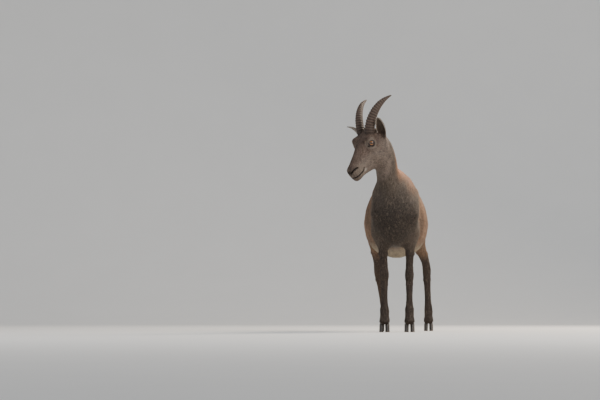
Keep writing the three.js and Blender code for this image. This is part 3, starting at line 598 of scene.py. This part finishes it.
def wrapped(bm, around, rows, place, ring=False):
    """Rolls a grid into a tube. place(turn, along) gives each point, with both from 0 to 1."""
    grid = bmesh.ops.create_grid(bm, x_segments=around, y_segments=rows, size=1)["verts"]
    for vert in grid:
        vert.co = place((vert.co.x + 1) / 2, (vert.co.y + 1) / 2)
    bmesh.ops.remove_doubles(bm, verts=grid, dist=1e-7)
    if not ring:
        ends = [edge for edge in bm.edges if edge.is_boundary]
        caps = bmesh.ops.holes_fill(bm, edges=ends, sides=0)["faces"]
        bmesh.ops.poke(bm, faces=caps)


def merged_copy(node, swell):
    """A copy of a node's mesh with its points joined, swollen a little."""
    bm = bmesh.new()
    bm.from_mesh(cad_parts[node].data)
    bmesh.ops.remove_doubles(bm, verts=bm.verts, dist=1e-5)
    bm.normal_update()
    for vert in bm.verts:
        vert.co += vert.normal * swell
    return bm


def modified(mesh, kind, group=None, **settings):
    """A mesh after one modifier."""
    obj = bpy.data.objects.new("work", mesh)
    bpy.context.scene.collection.objects.link(obj)
    if group is not None:
        weights = obj.vertex_groups.new(name="keep")
        for level in range(11):
            chosen = np.flatnonzero(np.round(group * 10).astype(int) == level)
            weights.add(chosen.tolist(), level / 10, "REPLACE")
        settings["vertex_group"] = "keep"
    modifier = obj.modifiers.new("work", kind)
    for name, value in settings.items():
        setattr(modifier, name, value)
    depsgraph = bpy.context.evaluated_depsgraph_get()
    result = bpy.data.meshes.new_from_object(obj.evaluated_get(depsgraph))
    bpy.data.objects.remove(obj)
    return result


def values(items, label, width=1, kind=np.float32):
    """One property of a mesh's items, with a row for each item."""
    out = np.empty(len(items) * width, kind)
    items.foreach_get(label, out)
    return out.reshape(-1, width)


def points_of(mesh):
    """A mesh's points as rows."""
    return values(mesh.vertices, "co", 3).astype(float)


def set_points(mesh, points):
    """Moves a mesh's points to the rows given."""
    mesh.vertices.foreach_set("co", points.astype(np.float32).ravel())
    mesh.update()


def normals_of(mesh):
    """The normals at a mesh's points as rows."""
    return values(mesh.vertex_normals, "vector", 3).astype(float)


def relaxed(rows, edges, share, rounds):
    """Moves each point's values towards those of its neighbours."""
    rows = rows.copy()
    a, b = edges.T
    count = np.maximum(np.bincount(edges.ravel(), minlength=len(rows)), 1)[:, None]
    for _ in range(rounds):
        near = [
            np.bincount(a, column[b], len(rows)) + np.bincount(b, column[a], len(rows))
            for column in rows.T
        ]
        rows += share[:, None] * (np.stack(near, axis=1) / count - rows)
    return rows


def kind_of(node):
    """The key of PARTS that a node belongs to."""
    return next(kind for kind in PARTS if node.startswith(kind) or node.endswith(kind))


def nearest_nodes(points):
    """For each point, the index in FLESH of the node it lies on."""
    corners, owners = [], []
    for index, node in enumerate(FLESH):
        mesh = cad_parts[node].data
        mesh.calc_loop_triangles()
        tris = values(mesh.loop_triangles, "vertices", 3, np.int32)
        corners.append(points_of(mesh)[tris.ravel()])
        owners += [index] * len(tris)
    corners = np.concatenate(corners)
    faces = np.arange(len(corners)).reshape(-1, 3)
    tree = BVHTree.FromPolygons(corners.tolist(), faces.tolist())
    return np.array([owners[tree.find_nearest(p)[2]] for p in points.tolist()])


def to_head(points):
    """Points in the head's frame, in millimetres."""
    return (points / MM - np.array(HEAD_AT)) @ np.array(HEAD_TURN)


def nostril_distance(half):
    """How far each point of the left half is from the nostril's slit, seen along its opening."""
    path = np.array(NOSTRIL, float)

    def flattened(rows):
        return rows - ((rows - path[2]) @ NOSTRIL_WAY)[:, None] * NOSTRIL_WAY * 0.8

    away = path_distance(flattened(half), flattened(path))
    return away + np.where(half[:, 0] < 3, 20.0, 0.0)


def path_distance(points, path):
    """How far each point is from a path of straight stretches."""
    best = np.full(len(points), np.inf)
    path = np.array(path, float)
    for a, way in zip(path[:-1], np.diff(path, axis=0)):
        share = np.clip((points - a) @ way / (way @ way), 0, 1)
        best = np.minimum(best, distance(points - share[:, None] * way, a))
    return best


def carved(points, normals):
    """The face's fine forms: its low forms, the nostrils and the line of the lips."""
    local = to_head(points)
    push = np.zeros(len(points))
    for side in SIDES.values():
        half = local * (side, 1, 1)
        off = nostril_distance(half)
        push -= 3.4 * smooth(4.2, 1.4, off)
        push += 1.0 * smooth(3.0, 5.0, off) * smooth(8.5, 5.5, off)
        for place, reach, height in FACE_FORMS:
            push += height * smooth(reach, 0, distance(half, place))
    lips = path_distance(local[:, 1:], MOUTH_LINE)
    ahead = smooth(-60, -90, local[:, 1])
    push -= 1.4 * smooth(2.6, 0.6, lips) * ahead
    push += 0.8 * smooth(2.4, 4.5, lips) * smooth(9.0, 5.0, lips) * ahead
    return points + normals * (push * MM)[:, None]


def ear_marks(points):
    """How far each point is inside an ear's cup, and how near the cup's rim, from 0 to 1."""
    local = to_head(points)
    cup, rim = np.zeros(len(points)), np.zeros(len(points))
    for name, side in SIDES.items():
        way = Vector(EAR_WAYS[name]).normalized()
        opening = Vector((side * 0.72, -0.74, -0.1))
        opening = (opening - way * opening.dot(way)).normalized()
        off = local - np.array(mirrored(EAR_ROOT, side))
        t = (off @ np.array(way)) / EAR_HEIGHT
        a = off @ np.array(way.cross(opening))
        o = off @ np.array(opening) - 9 * t * t
        radius = np.interp(t, EAR_KNOTS, EAR_RADII)
        spread = np.interp(t, EAR_KNOTS, EAR_SPREADS)
        wall = np.interp(t, WALL_KNOTS, EAR_WALLS)
        out = np.hypot(a, o)
        inner = smooth(0.2, -1.2, out - radius + wall / 2) * (t > 0.04) * (t < 1.02)
        angle = np.degrees(np.abs(np.arctan2(a, -o)))
        near = smooth(12, 4, np.abs(out - radius)) * (t > 0.3) * (t < 1.03)
        cup = np.maximum(cup, inner)
        rim = np.maximum(rim, smooth(spread - 32, spread - 14, angle) * near)
    return cup, rim


def face_marks(points):
    """Dark and pale marks of the ears, the nostrils and the mouth, from 0 to 1."""
    local = to_head(points)
    cup, rim = ear_marks(points)
    dark = cup * (1 - rim) * 0.12
    for side in SIDES.values():
        dark = np.maximum(dark, smooth(4.8, 3.0, nostril_distance(local * (side, 1, 1))))
    lips = path_distance(local[:, 1:], MOUTH_LINE)
    ahead = smooth(-82, -90, local[:, 1])
    dark = np.maximum(dark, smooth(4.6, 2.2, lips) * ahead)
    behind = np.linalg.norm((local[:, 1:] - MOUTH_CORNER) / MOUTH_PATCH, axis=1)
    pale = np.maximum(rim, smooth(1.2, 0.4, behind) * (np.abs(local[:, 0]) > 12) * 0.9)
    return dark, pale


def store(mesh, **columns):
    """Keeps numbers on a mesh's points, by name."""
    for label, values in columns.items():
        layer = mesh.attributes.new(label, "FLOAT", "POINT")
        layer.data.foreach_set("value", np.asarray(values, np.float32))


def make_skin():
    """One seamless skin over all the flesh."""
    whole = bmesh.new()
    for node in FLESH:
        part = merged_copy(node, EAR_SWELL if node in EARS else SWELL)
        whole.from_mesh(to_mesh("work", part, recalc=False))
    mesh = to_mesh("work", whole, recalc=False)
    mesh = modified(mesh, "REMESH", mode="VOXEL", voxel_size=GRID)
    bm = bmesh.new()
    bm.from_mesh(mesh)
    drop_islands(bm)
    mesh = to_mesh("skin", bm, recalc=False)

    edges = values(mesh.edges, "vertices", 2, np.int32)
    points = points_of(mesh)
    half = np.full(len(points), 0.5)
    owner = nearest_nodes(points)
    table = np.array([PARTS[kind_of(node)][:2] for node in FLESH])
    smoothing, depth = relaxed(table[owner], edges, half, 24).T
    points = relaxed(points, edges, smoothing, SMOOTHINGS)
    set_points(mesh, points)
    normals = normals_of(mesh)
    local = to_head(points)
    for side in SIDES.values():
        depth = depth * smooth(19, 30, distance(local, mirrored(EYE_AT, side)))
    depth *= 0.2 + 0.8 * smooth(22, 46, distance(local, NOSE_TIP))
    points = carved(points - normals * (depth * MM)[:, None], normals)
    points[:, 2] = np.maximum(points[:, 2], 0.0)
    set_points(mesh, points)
    is_head = np.isin(owner, [FLESH.index(n) for n in ("head", *EARS)]).astype(float)
    fine = relaxed(is_head[:, None], edges, half, 6)[:, 0]
    settings = {"ratio": KEPT_SHARE, "use_collapse_triangulate": True}
    return modified(mesh, "DECIMATE", group=1 - 0.92 * fine, **settings)


def drop_islands(bm):
    """Keeps the largest connected surface."""
    left = set(bm.verts)
    islands = []
    while left:
        island = [left.pop()]
        for vert in island:
            near = {other for edge in vert.link_edges for other in edge.verts} & left
            left -= near
            island += near
        islands.append(island)
    islands.sort(key=len)
    for island in islands[:-1]:
        bmesh.ops.delete(bm, geom=island, context="VERTS")


def unwrap(obj):
    """Unfolds a piece's own shape."""
    bpy.ops.object.select_all(action="DESELECT")
    bpy.context.view_layer.objects.active = obj
    obj.select_set(True)
    bpy.ops.object.mode_set(mode="EDIT")
    bpy.ops.mesh.select_all(action="SELECT")
    bpy.ops.uv.smart_project(angle_limit=math.radians(66), island_margin=0.002)
    bpy.ops.object.mode_set(mode="OBJECT")
    obj.data.uv_layers[0].name = "OFBake"


def lie(points, owner):
    """The way the hair points at each root."""
    places, ways = [], []
    for way, spots in HEAD_LIE:
        for side in SIDES.values() if spots[0][0] else (1,):
            places += [on_head(mirrored(spot, side)) for spot in spots]
            ways += [head_way(mirrored(way, side))] * len(spots)
    heads = len(places)
    for way, spots in BODY_LIE:
        places += [Vector(spot) * MM for spot in spots]
        ways += [Vector(way).normalized()] * len(spots)
    gap = np.linalg.norm(points[:, None] - np.array(places)[None], axis=2) + 0.004
    near = gap**-3.0
    on_head_skin = (owner == 0)[:, None]
    near[:, :heads] *= np.where(on_head_skin, 1.0, 0.25)
    near[:, heads:] *= np.where(on_head_skin, 0.08, 1.0)
    out = near @ np.array(ways)
    for name in EARS:
        out[owner == FLESH.index(name)] = head_way(EAR_WAYS[name[4:]])
    return unit(out)


def bare(points):
    """True where no tuft grows: eyes, nose pad, nostrils, lips, ear cups and horn sockets."""
    local = to_head(points)
    out = points[:, 2] < HOOF_TOP
    rise = np.array(HORN_WAY)
    for side in SIDES.values():
        half = local * (side, 1, 1)
        out |= distance(half, EYE_AT) < EYE_RADIUS + EYE_BARE
        out |= nostril_distance(half) < 5.2
        root = half - np.array(HORN_ROOT)
        above = root @ rise
        flat = (root - above[:, None] * rise) * (1.25, 0.95, 1)
        out |= (np.linalg.norm(flat, axis=1) < SOCKET_RADIUS) & (above > -30)
    out |= np.linalg.norm((local - NOSE_PAD) / (11, 10, 12), axis=1) < 1
    out |= (path_distance(local[:, 1:], MOUTH_LINE) < 2.6) & (local[:, 1] < -88)
    cup, rim = ear_marks(points)
    return out | ((cup > 0.4) & (rim < 0.5))


def roots(nodes, count, skin, rng):
    """Random places on the skin of some nodes: triangles, and shares of their corners."""
    tris = skin["tris"]
    wanted = np.isin(skin["owner"], [FLESH.index(node) for node in nodes])
    weight = np.where(wanted, skin["area"], 0.0)
    middle = skin["points"][tris].mean(1)
    if nodes == ["head"]:
        weight *= 1.0 + 1.6 * smooth(-40, -110, to_head(middle)[:, 1])
    weight[bare(middle)] = 0.0
    total = np.cumsum(weight)
    picks = np.searchsorted(total, (np.arange(count) + rng.random(count)) / count * total[-1])
    a = np.sqrt(rng.random(count))
    b = rng.random(count)
    share = np.stack([1 - a, a * (1 - b), a * b], axis=1)
    return np.minimum(picks, len(tris) - 1), share[:, :, None]


def tufts(name, nodes, count, skin, material, slot, seed, sizes):
    """One piece of the coat: closed, tapered tufts that follow the skin."""
    rng = np.random.default_rng(seed)
    picks, share = roots(nodes, count, skin, rng)
    corners, owner = skin["tris"][picks], skin["owner"][picks]
    root = (skin["points"][corners] * share).sum(1)
    up = unit((skin["normals"][corners] * share).sum(1))
    uv = (skin["uv"][picks] * share).sum(1)
    way = lie(root, owner)
    way = unit(way - (way * up).sum(1)[:, None] * up)
    sway = rng.normal(0, 0.16, count)[:, None]
    way = way * np.cos(sway) + np.cross(way, up) * np.sin(sway)
    across = np.cross(way, up)

    table = np.array([PARTS[kind_of(node)] for node in FLESH])[owner] * MM
    depth = table[:, 1]
    length, width = table[:, 2] * sizes.tuft_length, table[:, 3] * sizes.tuft_width
    if nodes == ["head"]:
        local = to_head(root)
        small = 1 - 0.5 * smooth(-60, -125, local[:, 1])
        for side in SIDES.values():
            small *= 0.5 + 0.5 * smooth(20, 40, distance(local, mirrored(EYE_AT, side)))
        length, width, depth = length * small, width * small, depth * small
    length = (length * rng.uniform(0.75, 1.25, count))[:, None]
    width = (width * rng.uniform(0.75, 1.2, count))[:, None]
    rise = (depth * rng.uniform(0.55, 1.0, count))[:, None]
    bend = rng.normal(0, 0.07, count)[:, None] * length

    half, ridge = across * width * 0.5, up * width * 0.3
    base = root - up * (0.4 * MM)
    mid = root + way * length * 0.5 + up * rise * 0.75
    tip = root + way * length + up * rise + across * bend
    rows = [base - half, base + half, base + ridge]
    rows += [mid - half * 0.8, mid + half * 0.8, mid + ridge * 0.8, tip]
    points = np.stack(rows, axis=1).reshape(-1, 3)
    facing = [up - across * 0.5, up + across * 0.5, up] * 2 + [up + way * 0.2]
    facing = unit(np.stack(facing, axis=1).reshape(-1, 3))

    loops = np.concatenate(TUFT_FACES)
    starts = np.cumsum([0] + [len(face) for face in TUFT_FACES[:-1]])
    order = np.arange(count)[:, None]
    each = len(TUFT_ALONG)
    mesh = bpy.data.meshes.new(name)
    mesh.vertices.add(len(points))
    mesh.loops.add(count * len(loops))
    mesh.loops.foreach_set("vertex_index", (loops + order * each).ravel().astype(np.int32))
    mesh.polygons.add(count * len(starts))
    mesh.polygons.foreach_set("loop_start", (starts + order * len(loops)).ravel().astype(np.int32))
    mesh.vertices.foreach_set("co", points.astype(np.float32).ravel())
    mesh.update(calc_edges=True)
    on_face = slot == "face_coat"
    dark, pale = face_marks(root) if on_face else np.zeros((2, count))
    store(
        mesh,
        tone=np.repeat(rng.random(count), each),
        along=np.tile(TUFT_ALONG, count),
        dark=np.repeat(dark, each),
        pale=np.repeat(pale, each),
    )
    patch = (np.array(TUFT_UV) - 0.5) * UV_PATCH
    spread = uv[:, None] + patch[loops][None]
    layer = mesh.uv_layers.new(name="OFBake")
    layer.data.foreach_set("uv", spread.astype(np.float32).ravel())
    mesh.shade_smooth()
    mesh.normals_split_custom_set_from_vertices(facing.tolist())
    piece(name, mesh, material, slot)


def eye_axes(side):
    """The way an eye looks, and its up and sideways directions."""
    out = head_way(mirrored(EYE_WAY, side))
    up = Vector((0, 0, 1)) - out * out.z
    up.normalize()
    across = up.cross(out)
    return out, up, across


def eyeball(name, side):
    """A ball with the low bulge of the cornea."""
    out, up, across = eye_axes(side)
    turn = Matrix((across, up, out)).transposed()
    bm = bmesh.new()
    bmesh.ops.create_uvsphere(bm, u_segments=72, v_segments=48, radius=EYE_RADIUS * MM)
    for vert in bm.verts:
        bulge = 1 + 0.055 * float(smooth(0.80, 0.97, vert.co.normalized().z))
        vert.co = on_head(mirrored(EYE_AT, side)) + turn @ (vert.co * bulge)
    return to_mesh(f"eyeball_{name}", bm)


def lid_edge(name, side):
    """A round bare edge along the opening of the lids, drawn out at the front corner."""
    out = eye_axes(side)[0]
    up = head_way((0, 0.1, 1))
    up = (up - out * up.dot(out)).normalized()
    forward = head_way((0, -1, 0))
    forward = (forward - out * forward.dot(out) - up * forward.dot(up)).normalized()

    def edge(turn, around):
        angle, roll = 2 * math.pi * turn, 2 * math.pi * around
        c, s = math.cos(angle), math.sin(angle)
        corner = max(c, 0) ** 6
        u = LID_HALF_WIDTH * c + LID_CORNER * corner
        v = LID_HALF_HEIGHT * s * (1 - 0.28 * abs(c) ** 3) - LID_DROOP * corner
        w = math.sqrt(max((EYE_RADIUS + 0.5) ** 2 - u * u - v * v, 16.0))
        flat = forward * u + up * v
        thick = LID_UPPER if s > 0 else LID_LOWER
        rim = thick * (math.cos(roll) * flat.normalized() + math.sin(roll) * out)
        return on_head(mirrored(EYE_AT, side)) + MM * (out * w + flat + rim)

    bm = bmesh.new()
    wrapped(bm, 72, 14, edge, ring=True)
    return to_mesh(f"lid_edge_{name}", bm)


def horn_arc(side, length):
    """The points along a horn's middle and the way it runs at each, in the head's frame."""
    local = Vector(mirrored(HORN_ROOT, side))
    centres, steps = [local.copy()], []
    for i in range(HORN_ROWS):
        u = (i + 0.5) / HORN_ROWS
        angle = HORN_RISE - HORN_BEND * u**1.15
        outward = HORN_SPLAY * (0.55 + 0.9 * u - 0.75 * u * u)
        step = Vector((side * outward, math.cos(angle), math.sin(angle))).normalized()
        local = local + step * (length / HORN_ROWS)
        centres.append(local + Vector((HORN_SHIFT * u * u, 0, 0)))
        steps.append(step)
    return centres, [*steps, steps[-1]]


def ringed_horn(name, side, length, rings, rng):
    """An egg-shaped section carried along the arc, with a bulge at each ring."""
    centres, steps = horn_arc(side, length)
    heights = rng.uniform(0.75, 1.2, rings + 1)
    ringed = RINGS_TO - RINGS_FROM

    def surface(turn, along):
        row = round(along * HORN_ROWS)
        way = steps[row]
        front = Vector((-0.38 * side, -1, 0.6))
        front = (front - way * front.dot(way)).normalized()
        taper = 1 - 0.18 * along - 0.72 * along**2.2
        if along > TIP_FROM:
            rounding = (along - TIP_FROM) / (1 - TIP_FROM)
            taper *= math.sqrt(max(1 - rounding**2, 0.003))
        bump = 0.0
        if RINGS_FROM < along < RINGS_TO:
            phase = (along - RINGS_FROM) / ringed * rings
            shape = math.sin(math.pi * (phase % 1) ** 1.5) ** 1.2
            edge = min((along - RINGS_FROM) / 0.05, (RINGS_TO - along) / 0.1, 1.0)
            bump = shape * heights[int(phase)] * (1 - 0.5 * along) * edge
        angle = 2 * math.pi * turn
        c, s = math.cos(angle), math.sin(angle)
        reach = bump * (2.9 * max(c, 0) ** 1.5 + 0.5)
        deep = HORN_DEEP * taper * (1 if c > 0 else 0.95) + reach
        wide = HORN_WIDE * taper + bump * (1.5 if c > 0 else 0.7)
        return on_head(centres[row] + front * (deep * c) + way.cross(front) * (wide * s))

    bm = bmesh.new()
    wrapped(bm, HORN_AROUND, HORN_ROWS, surface)
    mesh = to_mesh(f"horn_{name}_ringed", bm)
    stem = np.array([on_head(centre) for centre in centres])
    gaps = ((points_of(mesh)[:, None] - stem[None]) ** 2).sum(2)
    along = np.argmin(gaps, axis=1) / HORN_ROWS
    phase = (along - RINGS_FROM) / ringed * rings
    ridge = np.sin(np.pi * (phase % 1) ** 1.5)
    ridge = np.where((along > RINGS_FROM) & (along < RINGS_TO), ridge, 0.5)
    store(mesh, ridge=np.clip(ridge, 0, 1), grain=along)
    return mesh


def foot(leg, nodes):
    """The claws and dewclaws of one leg, with their edges rounded."""
    whole = bmesh.new()
    for node in nodes:
        part = merged_copy(node, 0.0)
        sharp = math.radians(50)
        edges = [e for e in part.edges if len(e.link_faces) == 2 and e.calc_face_angle(0) > sharp]
        bmesh.ops.bevel(
            part, geom=edges, offset=0.8 * MM, offset_type="OFFSET", affect="EDGES",
            segments=2, profile=0.5, material=-1,
        )
        whole.from_mesh(to_mesh("work", part))
    return to_mesh(f"hooves_{leg}", whole)


# Settings and operators


def paint(name, description, red, green, blue):
    """A colour setting, given as the eye sees it from 0 to 255."""
    linear = tuple((c / 255) ** 2.2 for c in (red, green, blue))
    return bpy.props.FloatVectorProperty(
        name=name, description=description, subtype="COLOR", size=3, min=0, max=1, default=linear
    )


class IbexLook(bpy.types.PropertyGroup):
    """Colours of the coat, horns, hooves and eyes."""

    flank: paint("Flank", "Coat on the flanks", 102, 79, 63)
    flank_light: paint("Light flank", "Lighter parts of the flanks", 130, 101, 80)
    spine: paint("Spine", "Coat along the back", 92, 70, 57)
    belly: paint("Belly", "Coat under the belly", 132, 120, 100)
    neck: paint("Neck", "Grizzled coat of neck and shoulders", 77, 71, 65)
    breast: paint("Breast", "Dark coat low on the breast", 33, 29, 28)
    # the nape's reddish coat, also used as painted rim light on the neck's rear edge and the
    # shoulder
    nape_and_rim_light: paint("Nape", "Reddish coat behind the head", 168, 110, 74)
    leg: paint("Leg", "Blackish coat of the legs", 44, 36, 32)
    face: paint("Face", "Coat of the face", 94, 82, 75)
    face_light: paint("Light face", "Lighter coat of the face", 126, 114, 105)
    face_dark: paint("Dark face", "Band from the forehead to the nose", 73, 57, 50)
    muzzle: paint("Muzzle", "Coat at the side of the mouth", 116, 104, 93)
    eye_ring: paint("Eye ring", "Pale fur around the eye", 158, 148, 138)
    spot: paint("Cheek spot", "Small dark spots on the cheek", 92, 58, 44)
    fleck: paint("Fleck", "Light tips of the grizzled coat", 160, 142, 124)
    leather: paint("Leather", "Bare skin of lids, nose and lips", 24, 20, 19)
    horn: paint("Horn", "Ridges of the horns", 76, 62, 54)
    horn_dark: paint("Dark horn", "Furrows of the horns", 48, 39, 34)
    horn_light: paint("Worn horn", "Worn and dusty places", 98, 83, 73)
    hoof: paint("Hoof", "Hoof horn", 38, 34, 31)
    hoof_light: paint("Light hoof", "Growth lines of the hooves", 64, 57, 51)
    iris: paint("Iris", "Ground colour of the iris", 112, 64, 20)
    iris_light: paint("Light iris", "Spokes of the iris", 158, 102, 40)
    iris_dark: paint("Dark iris", "Edge of the iris", 52, 26, 12)
    eye_white: paint("Eye white", "Brownish rim around the iris", 26, 18, 15)


def portion(name, description):
    """A setting that is a share of the usual amount."""
    return bpy.props.FloatProperty(
        name=name, description=description, subtype="FACTOR", min=0.2, soft_max=2, default=1
    )


class IbexSizes(bpy.types.PropertyGroup):
    """Sizes of the horns and of the coat's tufts."""

    horn_length: bpy.props.FloatProperty(
        name="Horn length", description="Along the horn from root to tip", unit="LENGTH",
        min=0.05, max=0.3, default=0.221,
    )
    horn_rings: bpy.props.IntProperty(
        name="Horn rings", description="Ridges along each horn", min=4, max=40, default=16
    )
    tuft_length: portion("Tuft length", "Length of the coat's tufts, as a share of the usual")
    tuft_width: portion("Tuft width", "Width of the coat's tufts, as a share of the usual")
    tuft_count: portion("Tuft count", "Number of the coat's tufts, as a share of the usual")


class MakeSkin(bpy.types.Operator):
    """Makes the one skin that stands for the flesh"""

    bl_idname = "ibex.skin"
    bl_label = "Skin"

    def execute(self, context):
        mesh = make_skin()
        look = context.scene.ibex_look
        obj = piece("skin", mesh, skin_finish(look), "body_coat", *FLESH)
        mesh.shade_smooth()
        unwrap(obj)
        mesh.calc_loop_triangles()
        tris = values(mesh.loop_triangles, "vertices", 3, np.int32)
        loops = values(mesh.loop_triangles, "loops", 3, np.int32)
        points = points_of(mesh)
        dark, pale = face_marks(points)
        store(mesh, dark=dark, pale=pale)
        a, b, c = (points[tris[:, i]] for i in range(3))
        made["skin"] = {
            "points": points,
            "normals": normals_of(mesh),
            "tris": tris,
            "uv": values(mesh.uv_layers["OFBake"].data, "uv", 2).astype(float)[loops],
            "area": np.linalg.norm(np.cross(b - a, c - a), axis=1) / 2,
            "owner": nearest_nodes((a + b + c) / 3),
        }
        return {"FINISHED"}


class MakeCoat(bpy.types.Operator):
    """Grows the coat's tufts on the skin, in one piece for each part of the body"""

    bl_idname = "ibex.coat"
    bl_label = "Coat"

    def execute(self, context):
        material = tuft_finish(context.scene.ibex_look)
        sizes = context.scene.ibex_sizes
        for seed, (name, (nodes, count, slot)) in enumerate(COATS.items()):
            count = round(count * sizes.tuft_count)
            tufts(name, nodes, count, made["skin"], material, slot, seed + 1, sizes)
        return {"FINISHED"}


class MakeEyes(bpy.types.Operator):
    """Makes the eyeballs and the bare edges of the lids"""

    bl_idname = "ibex.eyes"
    bl_label = "Eyes"

    def execute(self, context):
        look = context.scene.ibex_look
        leather = leather_finish(look)
        for name, side in SIDES.items():
            mesh = eyeball(name, side)
            piece(f"eyeball_{name}", mesh, eye_finish(name, side, look), "eye", f"eye_{name}")
            piece(f"lid_edge_{name}", lid_edge(name, side), leather, "eye")
        return {"FINISHED"}


class MakeHorns(bpy.types.Operator):
    """Makes the ringed horns along their arcs"""

    bl_idname = "ibex.horns"
    bl_label = "Horns"

    def execute(self, context):
        material = horn_finish(context.scene.ibex_look)
        sizes = context.scene.ibex_sizes
        rng = np.random.default_rng(40)
        for name, side in SIDES.items():
            mesh = ringed_horn(name, side, sizes.horn_length / MM, sizes.horn_rings, rng)
            piece(f"horn_{name}_ringed", mesh, material, "horn", f"horn_{name}")
        return {"FINISHED"}


class MakeHooves(bpy.types.Operator):
    """Makes the cloven hooves and dewclaws, one piece for each foot"""

    bl_idname = "ibex.hooves"
    bl_label = "Hooves"

    def execute(self, context):
        material = hoof_finish(context.scene.ibex_look)
        for leg in LEGS:
            nodes = [f"{leg}_{claw}" for claw in CLAWS]
            obj = piece(f"hooves_{leg}", foot(leg, nodes), material, "hoof", *nodes)
            soft = obj.modifiers.new("rounding", "SUBSURF")
            soft.levels = soft.render_levels = 1
        return {"FINISHED"}


class MakeStage(bpy.types.Operator):
    """Sets the pale floor, the soft lights and the camera"""

    bl_idname = "ibex.stage"
    bl_label = "Stage"

    def execute(self, context):
        scene = context.scene
        bm = bmesh.new()
        grid = bmesh.ops.create_grid(bm, x_segments=1, y_segments=96, size=FLOOR_HALF)
        for vert in grid["verts"]:
            past = max(vert.co.y - SWEEP_FROM, 0.0)
            turned = min(past / SWEEP_RADIUS, math.pi / 2)
            above = max(past - SWEEP_RADIUS * math.pi / 2, 0.0)
            if past:
                vert.co.y = SWEEP_FROM + SWEEP_RADIUS * math.sin(turned)
                vert.co.z = SWEEP_RADIUS * (1 - math.cos(turned)) + above
        floor = bpy.data.objects.new("floor", to_mesh("floor", bm, recalc=False))
        scene.collection.objects.link(floor)
        recipe = Recipe("pale_floor")
        colour = recipe.mix(recipe.noise(3.0), (0.74, 0.735, 0.72), (0.78, 0.775, 0.76))
        floor.data.materials.append(recipe.finish(Base_Color=colour, Roughness=0.85))

        world = bpy.data.worlds.new("studio")
        world.use_nodes = True
        sky = world.node_tree.nodes["Background"].inputs
        sky[0].default_value = (0.80, 0.83, 0.87, 1)
        sky[1].default_value = 0.7
        scene.world = world
        for name, (place, size, power, colour) in LAMPS.items():
            lamp = bpy.data.lights.new(name, "AREA")
            lamp.size, lamp.energy, lamp.color = size, power, colour
            light = bpy.data.objects.new(name, lamp)
            light.location = place
            light.rotation_euler = (Vector(place) - AIM).to_track_quat("Z", "Y").to_euler()
            scene.collection.objects.link(light)

        lens = bpy.data.cameras.new("camera")
        lens.sensor_width, lens.lens, lens.clip_end = 36.0, 141.9, 200
        camera = bpy.data.objects.new("camera", lens)
        camera.location = CAMERA_AT
        camera.rotation_euler = (math.pi / 2 + CAMERA_PITCH, 0.0, CAMERA_TURN)
        scene.collection.objects.link(camera)
        scene.camera = camera
        return {"FINISHED"}


OPERATORS = (MakeStage, MakeSkin, MakeEyes, MakeHorns, MakeHooves, MakeCoat)


class IbexPanel(bpy.types.Panel):
    """Lists the pieces and their colours"""

    bl_idname = "VIEW3D_PT_ibex"
    bl_label = "Ibex"
    bl_space_type = "VIEW_3D"
    bl_region_type = "UI"
    bl_category = "Ibex"

    def draw(self, context):
        layout = self.layout
        for operator in OPERATORS:
            layout.operator(operator.bl_idname)
        for group in (context.scene.ibex_sizes, context.scene.ibex_look):
            for name in type(group).__annotations__:
                layout.prop(group, name)


CLASSES = (IbexLook, IbexSizes, *OPERATORS, IbexPanel)


def register():
    for cls in CLASSES:
        bpy.utils.register_class(cls)
    bpy.types.Scene.ibex_look = bpy.props.PointerProperty(type=IbexLook)
    bpy.types.Scene.ibex_sizes = bpy.props.PointerProperty(type=IbexSizes)


def unregister():
    del bpy.types.Scene.ibex_look
    del bpy.types.Scene.ibex_sizes
    for cls in reversed(CLASSES):
        bpy.utils.unregister_class(cls)


def main():
    """Makes every piece."""
    register()
    for operator in OPERATORS:
        group, name = operator.bl_idname.split(".")
        getattr(getattr(bpy.ops, group), name)()


if __name__ == "__main__":
    main()
